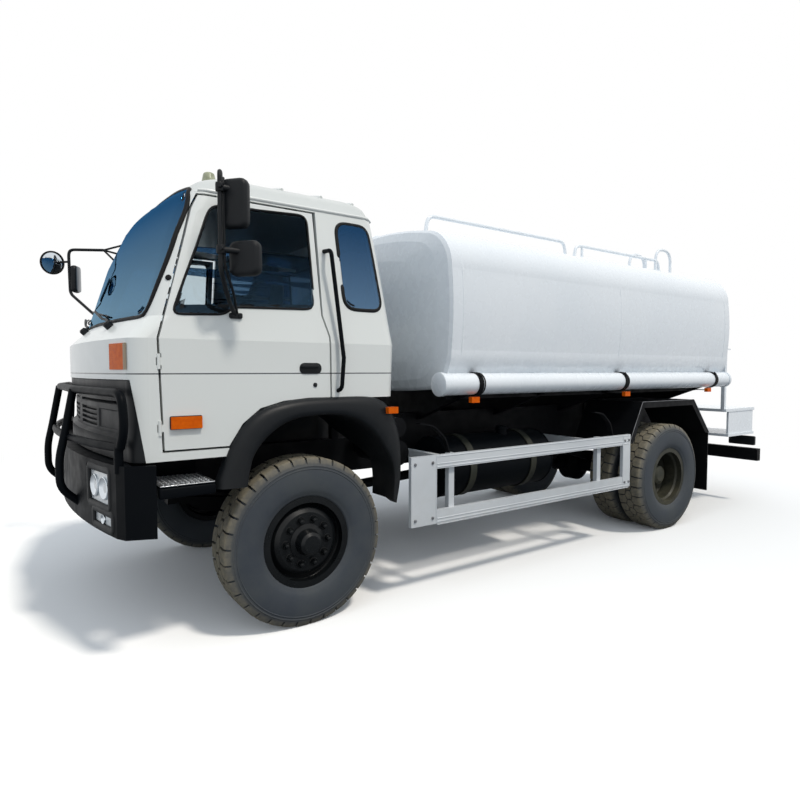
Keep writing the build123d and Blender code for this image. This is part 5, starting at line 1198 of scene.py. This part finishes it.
def beaconBase(form):
    # bayonet base and its metal ring
    r, place = form["base"], forward([form["place"]])[0]
    foot = [(r - 0.008, 2.770), (r, 2.790), (r, 2.814), (r - 0.004, 2.820), (0.001, 2.821)]
    ring = [(r - 0.008, 2.815), (r + 0.003, 2.815), (r + 0.003, 2.826), (r - 0.008, 2.829)]
    return [turned(foot, place, (0, 0, 1), 36), turned(ring, place, (0, 0, 1), 36, True)]


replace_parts(addPiece("beaconDome", beaconDome(beaconForm), "beaconLens", angle=50), "roof_beacon")
addPiece("beaconBase", beaconBase(beaconForm), "boltSteel")

railForm = {
    "radius": 0.016, "y": 0.450, "foot": 2.645, "bend": 0.075,
    # front, rear and height of each rail, then its uprights
    "rails": [(0.947, -0.870, 2.883, ()), (-0.973, -2.555, 2.875, (-1.115, -2.265))],
    "ladder": (-2.775, -2.465, 3.010),      # rear, front and height of its arched handles
    "ladderY": (0.110, 0.450),
    "ladderBend": 0.140,
}


def railParts(form):
    # hand rails along the tank's top
    y, foot = form["y"], form["foot"]
    parts = []
    for front, rear, top, uprights in form["rails"]:
        line = [(front, y, foot), (front - 0.040, y, top), (rear + 0.040, y, top), (rear, y, foot)]
        parts.append(tube(filleted(line, form["bend"]), form["radius"], (0, 1, 0)))
        parts += [tube([(x, y, foot), (x, y, top)], form["radius"] - 0.002, (0, 1, 0)) for x in uprights]
    return parts


def ladderParts(form):
    # two arched handles where the rear ladder ends
    rear, front, top = form["ladder"]
    foot = form["foot"]
    arches = [[(rear, y, foot), (rear, y, top), (front, y, top), (front, y, foot)] for y in form["ladderY"]]
    return [tube(filleted(line, form["ladderBend"], 10), form["radius"], (0, 1, 0)) for line in arches]


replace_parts(addPiece("tankRails", bothSides(railParts(railForm)) + ladderParts(railForm), "tankPaint"), "top_rails")

barForm = {
    "radius": 0.0225,
    "middle": (1.236, 0.183, 1.122, 1.200),     # front, how far its ends fall back, half width, height
    "hoop": [(1.053, 1.122, 1.200), (1.040, 1.165, 1.300), (1.048, 1.150, 1.478), (1.185, 0.400, 1.482)],
    "post": [(1.186, 0.420, 1.482), (1.240, 0.420, 1.200), (1.2675, 0.420, 1.080), (1.2675, 0.420, 0.900),
             (1.160, 0.420, 0.800)],
    "end": [(1.060, 1.112, 1.200), (1.060, 1.100, 1.068)],
    "bends": (0.07, 0.06),      # of the hoop and of the posts
}


def barParts(form):
    # bowed middle bar, hoop above it, and upright bars down over the bumper's face
    r = form["radius"]
    front, back, half, z = form["middle"]
    middle = forward([(front - back * (y / half) ** 2, y, z) for y in np.linspace(-half, half, 25)])
    over = forward(form["hoop"] + [(x, -y, z) for x, y, z in form["hoop"][::-1]])
    uprights = [tube(filleted(forward(form[bar]), form["bends"][1]), r, (0, 1, 0), 16) for bar in ("post", "end")]
    return [tube(middle, r, (0, 0, 1), 16),
            tube(filleted(over, form["bends"][0]), r, (1, 0, 0.2), 16)] + bothSides(uprights)


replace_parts(addPiece("bullBar", barParts(barForm), "blackPaint"), "bull_bar")

# ---- steps, guards and small fittings ----
archForm = {
    # distance ahead and height along the arch's outer edge and along its opening, from the rear up and over
    "outer": [(-0.612, 0.708), (-0.652, 0.881), (-0.652, 1.180), (-0.565, 1.372), (-0.440, 1.428), (0.015, 1.428),
              (0.176, 1.412), (0.318, 1.374), (0.425, 1.292), (0.503, 1.168), (0.560, 1.010), (0.588, 0.940)],
    "opening": [(-0.577, 0.736), (-0.594, 0.954), (-0.506, 1.107), (-0.391, 1.244), (-0.209, 1.323), (0.031, 1.321),
                (0.160, 1.298), (0.284, 1.224), (0.375, 1.116), (0.396, 1.030), (0.412, 0.938)],
    # share of the way out from the opening, and y, round the flare's section
    "section": [(0.0, 1.104), (0.0, 1.178), (0.03, 1.190), (0.09, 1.197), (0.30, 1.202), (0.60, 1.200), (0.82, 1.190),
                (0.95, 1.172), (1.0, 1.152), (1.0, 1.104)],
    "linerOuter": 1.130,
    # share along the liner, and y of its inner edge, which clears the steered tyre at both ends
    "linerInner": [(0.0, 0.93), (0.16, 0.90), (0.30, 0.56), (0.70, 0.56), (0.84, 0.90), (1.0, 0.93)],
    "linerAt": (-0.003, -0.011),
}


def archParts(form):
    # flare with a rolled lip, bent smoothly round the wheel, and the thin liner over the tyre
    outer = alongLine(filleted(form["outer"], 0.13), 70)
    opening = alongLine(filleted(form["opening"], 0.15), 70)
    share, y = np.array(form["section"]).T
    flat = opening[:, None] + (outer - opening)[:, None] * share[:, None]
    flare = np.stack([ahead(flat[..., 0]), np.broadcast_to(y, flat.shape[:2]), flat[..., 1]], axis=-1)
    way = unit(np.gradient(opening, axis=0))
    sides = [opening + d * np.stack([way[:, 1], -way[:, 0]], axis=1) for d in form["linerAt"]]
    out = np.full(len(opening), form["linerOuter"])
    inner = np.interp(np.linspace(0, 1, len(opening)), *np.array(form["linerInner"]).T)
    corners = [(sides[0], inner), (sides[0], out), (sides[1], out), (sides[1], inner)]
    liner = np.stack([np.stack([ahead(p[:, 0]), at, p[:, 1]], axis=1) for p, at in corners], axis=1)
    return [loft(flare), loft(liner)]


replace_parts(addPiece("wheelArches", bothSides(archParts(archForm)), "plastic", angle=50), "front_mudguards")

stepForm = {
    "box": ((0.296, 0.385, 0.056), 0.016, 0.008, (0.746, 1.0225, 0.956)),
    "riser": ((0.286, 0.190, 0.018), 0.010, 0.004, (0.746, 0.840, 1.080)),
    "arm": ((0.080, 0.400, 0.045), 0.006, 0.004, (0.740, 0.640, 0.956)),
    "x": (0.604, 0.888), "y": (0.905, 1.212), "z": 0.993,
    "bar": (0.021, 0.0065, 0.006), "barGap": (0.026, 0.020),
}


def stepParts(form):
    # step box with its riser plate and the arm from the frame rail
    return [slab(*form["box"]), slab(*form["riser"], (90, 0, 0)), slab(*form["arm"])]


def treadParts(form):
    # rolled plate of raised bars lying in alternate directions
    low, high = form["x"], form["y"]
    parts = [slab((low[1] - low[0], high[1] - high[0], 0.006), 0.006, 0.002,
                  (sum(low) / 2, sum(high) / 2, form["z"] + 0.001))]
    for index, y in enumerate(np.arange(high[0] + 0.02, high[1] - 0.012, form["barGap"][1])):
        odd = index % 2
        for x in np.arange(low[0] + 0.02 + 0.013 * odd, low[1] - 0.014, form["barGap"][0]):
            parts.append(slab(form["bar"], 0.003, 0.0022, (x, y, form["z"] + 0.006), (0, 0, 45 - 90 * odd)))
    return parts


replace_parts(addPiece("entrySteps", bothSides(stepParts(stepForm)), "blackPaint"), "entry_steps")
addPiece("stepTread", bothSides(treadParts(stepForm)), "treadAlloy")

guardForm = {
    "face": 1.2105, "x": (-3.215, -0.712),
    "beads": (0.922, 0.944, 0.995, 0.537, 0.559, 0.5175),
    "boltX": (-0.745, -0.895, -3.13, -3.19), "boltZ": (0.57, 0.955),
}


def guardParts(form):
    # pressed beads along both rails, and upright ones beside the openings
    rear, front = form["x"]
    parts = [tube(forward([(x, form["face"] - 0.001, z) for x in np.linspace(rear + 0.02, front - 0.225, 12)]),
                  0.004, (0, 0, 1), 8) for z in form["beads"]]
    return parts + [tube(forward([(x, form["face"], z) for z in np.linspace(0.53, 1.0, 6)]), 0.004, (1, 0, 0), 8)
                    for x in (front - 0.216, rear + 0.112)]


def guardBolts(form):
    # round-edged bolt heads in the guards' ends
    places = forward([(x, form["face"], z) for x in form["boltX"] for z in form["boltZ"]])
    return [peg(0.011, 0, 0.009, place, bevel=(0.003, 0.003)) for place in places]


addPiece("guardBeads", bothSides(guardParts(guardForm)), "guardPaint")
addPiece("guardBolts", bothSides(guardBolts(guardForm)), "boltSteel")

nutForm = {"circle": 0.1420, "count": 10, "y": 1.078}


def nutCups(form, side):
    # pressed cup round each nut, and the rounded nut cap
    ring = [(0.022, -0.002), (0.027, -0.002), (0.0265, 0.003), (0.0245, 0.004), (0.022, 0.001)]
    cap = [(0.001, 0.0), (0.0165, 0.0), (0.0165, 0.026), (0.012, 0.033), (0.001, 0.036)]
    parts = []
    for turn in np.arange(form["count"]) * 2 * np.pi / form["count"]:
        place = (frontAxleX + form["circle"] * math.cos(turn), side * form["y"],
                 axleZ + form["circle"] * math.sin(turn))
        parts += [turned(ring, place, (0, side, 0), 20, True), turned(cap, place, (0, side, 0), 12)]
    return parts


for side, sign in (("left", 1), ("right", -1)):
    addPiece(side + "WheelNuts", nutCups(nutForm, sign), "wheelPaint", "front_wheel_" + side)

seamForm = {"x": (1.115, -0.790, -2.700), "middleZ": 2.0, "width": 0.018, "height": 0.0035}


def tankSeam(x, tree, form):
    # raised weld band round the tank, met by rays drawn in from a circle about its middle
    middle = Vector((x, 0, form["middleZ"]))
    turn = np.linspace(0, 2 * np.pi, 160, endpoint=False)
    starts = [(x, 3 * math.cos(a), form["middleZ"] + 3 * math.sin(a)) for a in turn]
    hits = [tree.ray_cast(Vector(p), (middle - Vector(p)).normalized()) for p in starts]
    path, normals = np.array([h[0] for h in hits]), np.array([h[1] for h in hits])
    normals = normals * np.sign(np.einsum("ij,ij->i", normals, np.array(starts) - path))[:, None]
    return beading(softened(path, 2), unit(softened(normals, 3)), form["width"], form["height"])


tankTree = surfaceOf("tank_body")
addPiece("tankSeams", [tankSeam(x, tankTree, seamForm) for x in seamForm["x"]], "tankPaint", angle=60)

# painted highlight: a thin bright metal line along the rear mudguard's folded edge; distance ahead of the rear axle
# and height
guardEdgeHighlight = [(0.700, 0.909), (0.495, 1.293), (-0.425, 1.291), (-0.750, 0.929)]
addPiece("mudguardEdgeHighlights", bothSides([
    tube(filleted([(rearAxleX + x, 1.176, z) for x, z in guardEdgeHighlight], 0.01), 0.003, (0, 1, 0), 8),
]), "boltSteel")

# size, corner, edge and place of the tail lamps' lenses and of the housings they are set into
tailForm = {
    "lens": ((0.082, 0.262, 0.012), 0.012, 0.003, (-3.631, 0.955, 0.745)),
    "housing": ((0.110, 0.300, 0.038), 0.014, 0.005, (-3.607, 0.950, 0.740)),
}
tailLenses, tailHousings = (bothSides([roundedBox(*tailForm[part], (0, 90, 0))]) for part in ("lens", "housing"))
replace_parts(addPiece("tailLenses", tailLenses, "redLens"), "tail_lamps")
addPiece("tailHousings", tailHousings, "plastic")

hangerForm = {
    "starts": (-0.796, -2.72),
    # behind its start, and height, down the strap
    "line": [(0.02, 1.226), (0.14, 1.208), (0.25, 1.112), (0.29, 0.99)],
    "y": 1.150, "halfWidth": 0.022, "halfThick": 0.004,
}


def hangerStraps(form):
    # bent flat straps from the cradle's skirt out to the side guards' top rail
    parts = []
    for start in form["starts"]:
        path = filleted(forward([(start - x, form["y"], z) for x, z in form["line"]]), 0.04)
        up = unit(np.cross(unit(np.gradient(path, axis=0)), (0, 1, 0)))
        wide = np.array([(-1, -1), (1, -1), (1, 1), (-1, 1)])
        rings = path[:, None] + wide[:, :1] * (0, form["halfWidth"], 0)
        parts.append(loft(rings + wide[:, 1:] * up[:, None] * form["halfThick"]))
    return parts


addPiece("hangerStraps", bothSides(hangerStraps(hangerForm)), "framePaint")

fuelForm = {
    "middle": (0.755, 0.830), "radius": 0.2405, "straps": (-2.15, -1.47), "seams": (-2.386, -1.234),
    "cap": (-1.95, 0.815, 1.092),
}


def fuelStraps(form):
    # flat bands round the tank with a folded edge
    r = form["radius"]
    section = [(r + 0.002, -0.032), (r + 0.010, -0.032), (r + 0.007, 0.0), (r + 0.010, 0.032), (r + 0.002, 0.032)]
    return [turned(section, (ahead(x), *form["middle"]), (1, 0, 0), 56, closed=True) for x in form["straps"]]


def fuelTrim(form):
    # rolled end seams and the filler's cap with its neck
    r = form["radius"]
    cap = [(0.001, 0.0), (0.052, 0.0), (0.052, 0.012), (0.047, 0.014), (0.047, 0.026), (0.040, 0.032), (0.001, 0.034)]
    seams = [hoop(r - 0.004, r + 0.004, 0.006, (ahead(x), *form["middle"]), (1, 0, 0), 56) for x in form["seams"]]
    return seams + [turned(cap, forward([form["cap"]])[0], (0, 0, 1), 18)]


addPiece("fuelStraps", fuelStraps(fuelForm), "olivePaint")
addPiece("fuelTrim", fuelTrim(fuelForm), "blackPaint")

hoseForm = {"middle": (1.119, 1.492), "radius": 0.080, "clamps": (0.985, -0.815, -2.435), "ends": (1.325, -2.755)}


def hoseStraps(form):
    # screw housings and a thin band beside each clamp
    y, z = form["middle"]
    parts = []
    for x in form["clamps"]:
        parts.append(hoop(0.0802, 0.0840, 0.005, (x - 0.036, y, z), (1, 0, 0), 40))
        parts.append(peg(0.010, -0.016, 0.016, (x, y + 0.064, z + 0.066), (0, 0.7, -0.7), 10))
    return parts


def tubeCaps(form):
    # domed cap with a rolled rim at each end of both tubes
    r = form["radius"]
    profile = [(r + 0.001, -0.03), (r + 0.006, -0.03), (r + 0.006, 0.002), (r - 0.006, 0.007), (0.001, 0.010)]
    return [turned(profile, (x, *form["middle"]), (math.copysign(1, x), 0, 0), 40) for x in form["ends"]]


addPiece("hoseStraps", bothSides(hoseStraps(hoseForm)), "seal")
addPiece("hoseTubeCaps", bothSides(tubeCaps(hoseForm)), "tankPaint")
print("lamps, guards and fittings made")
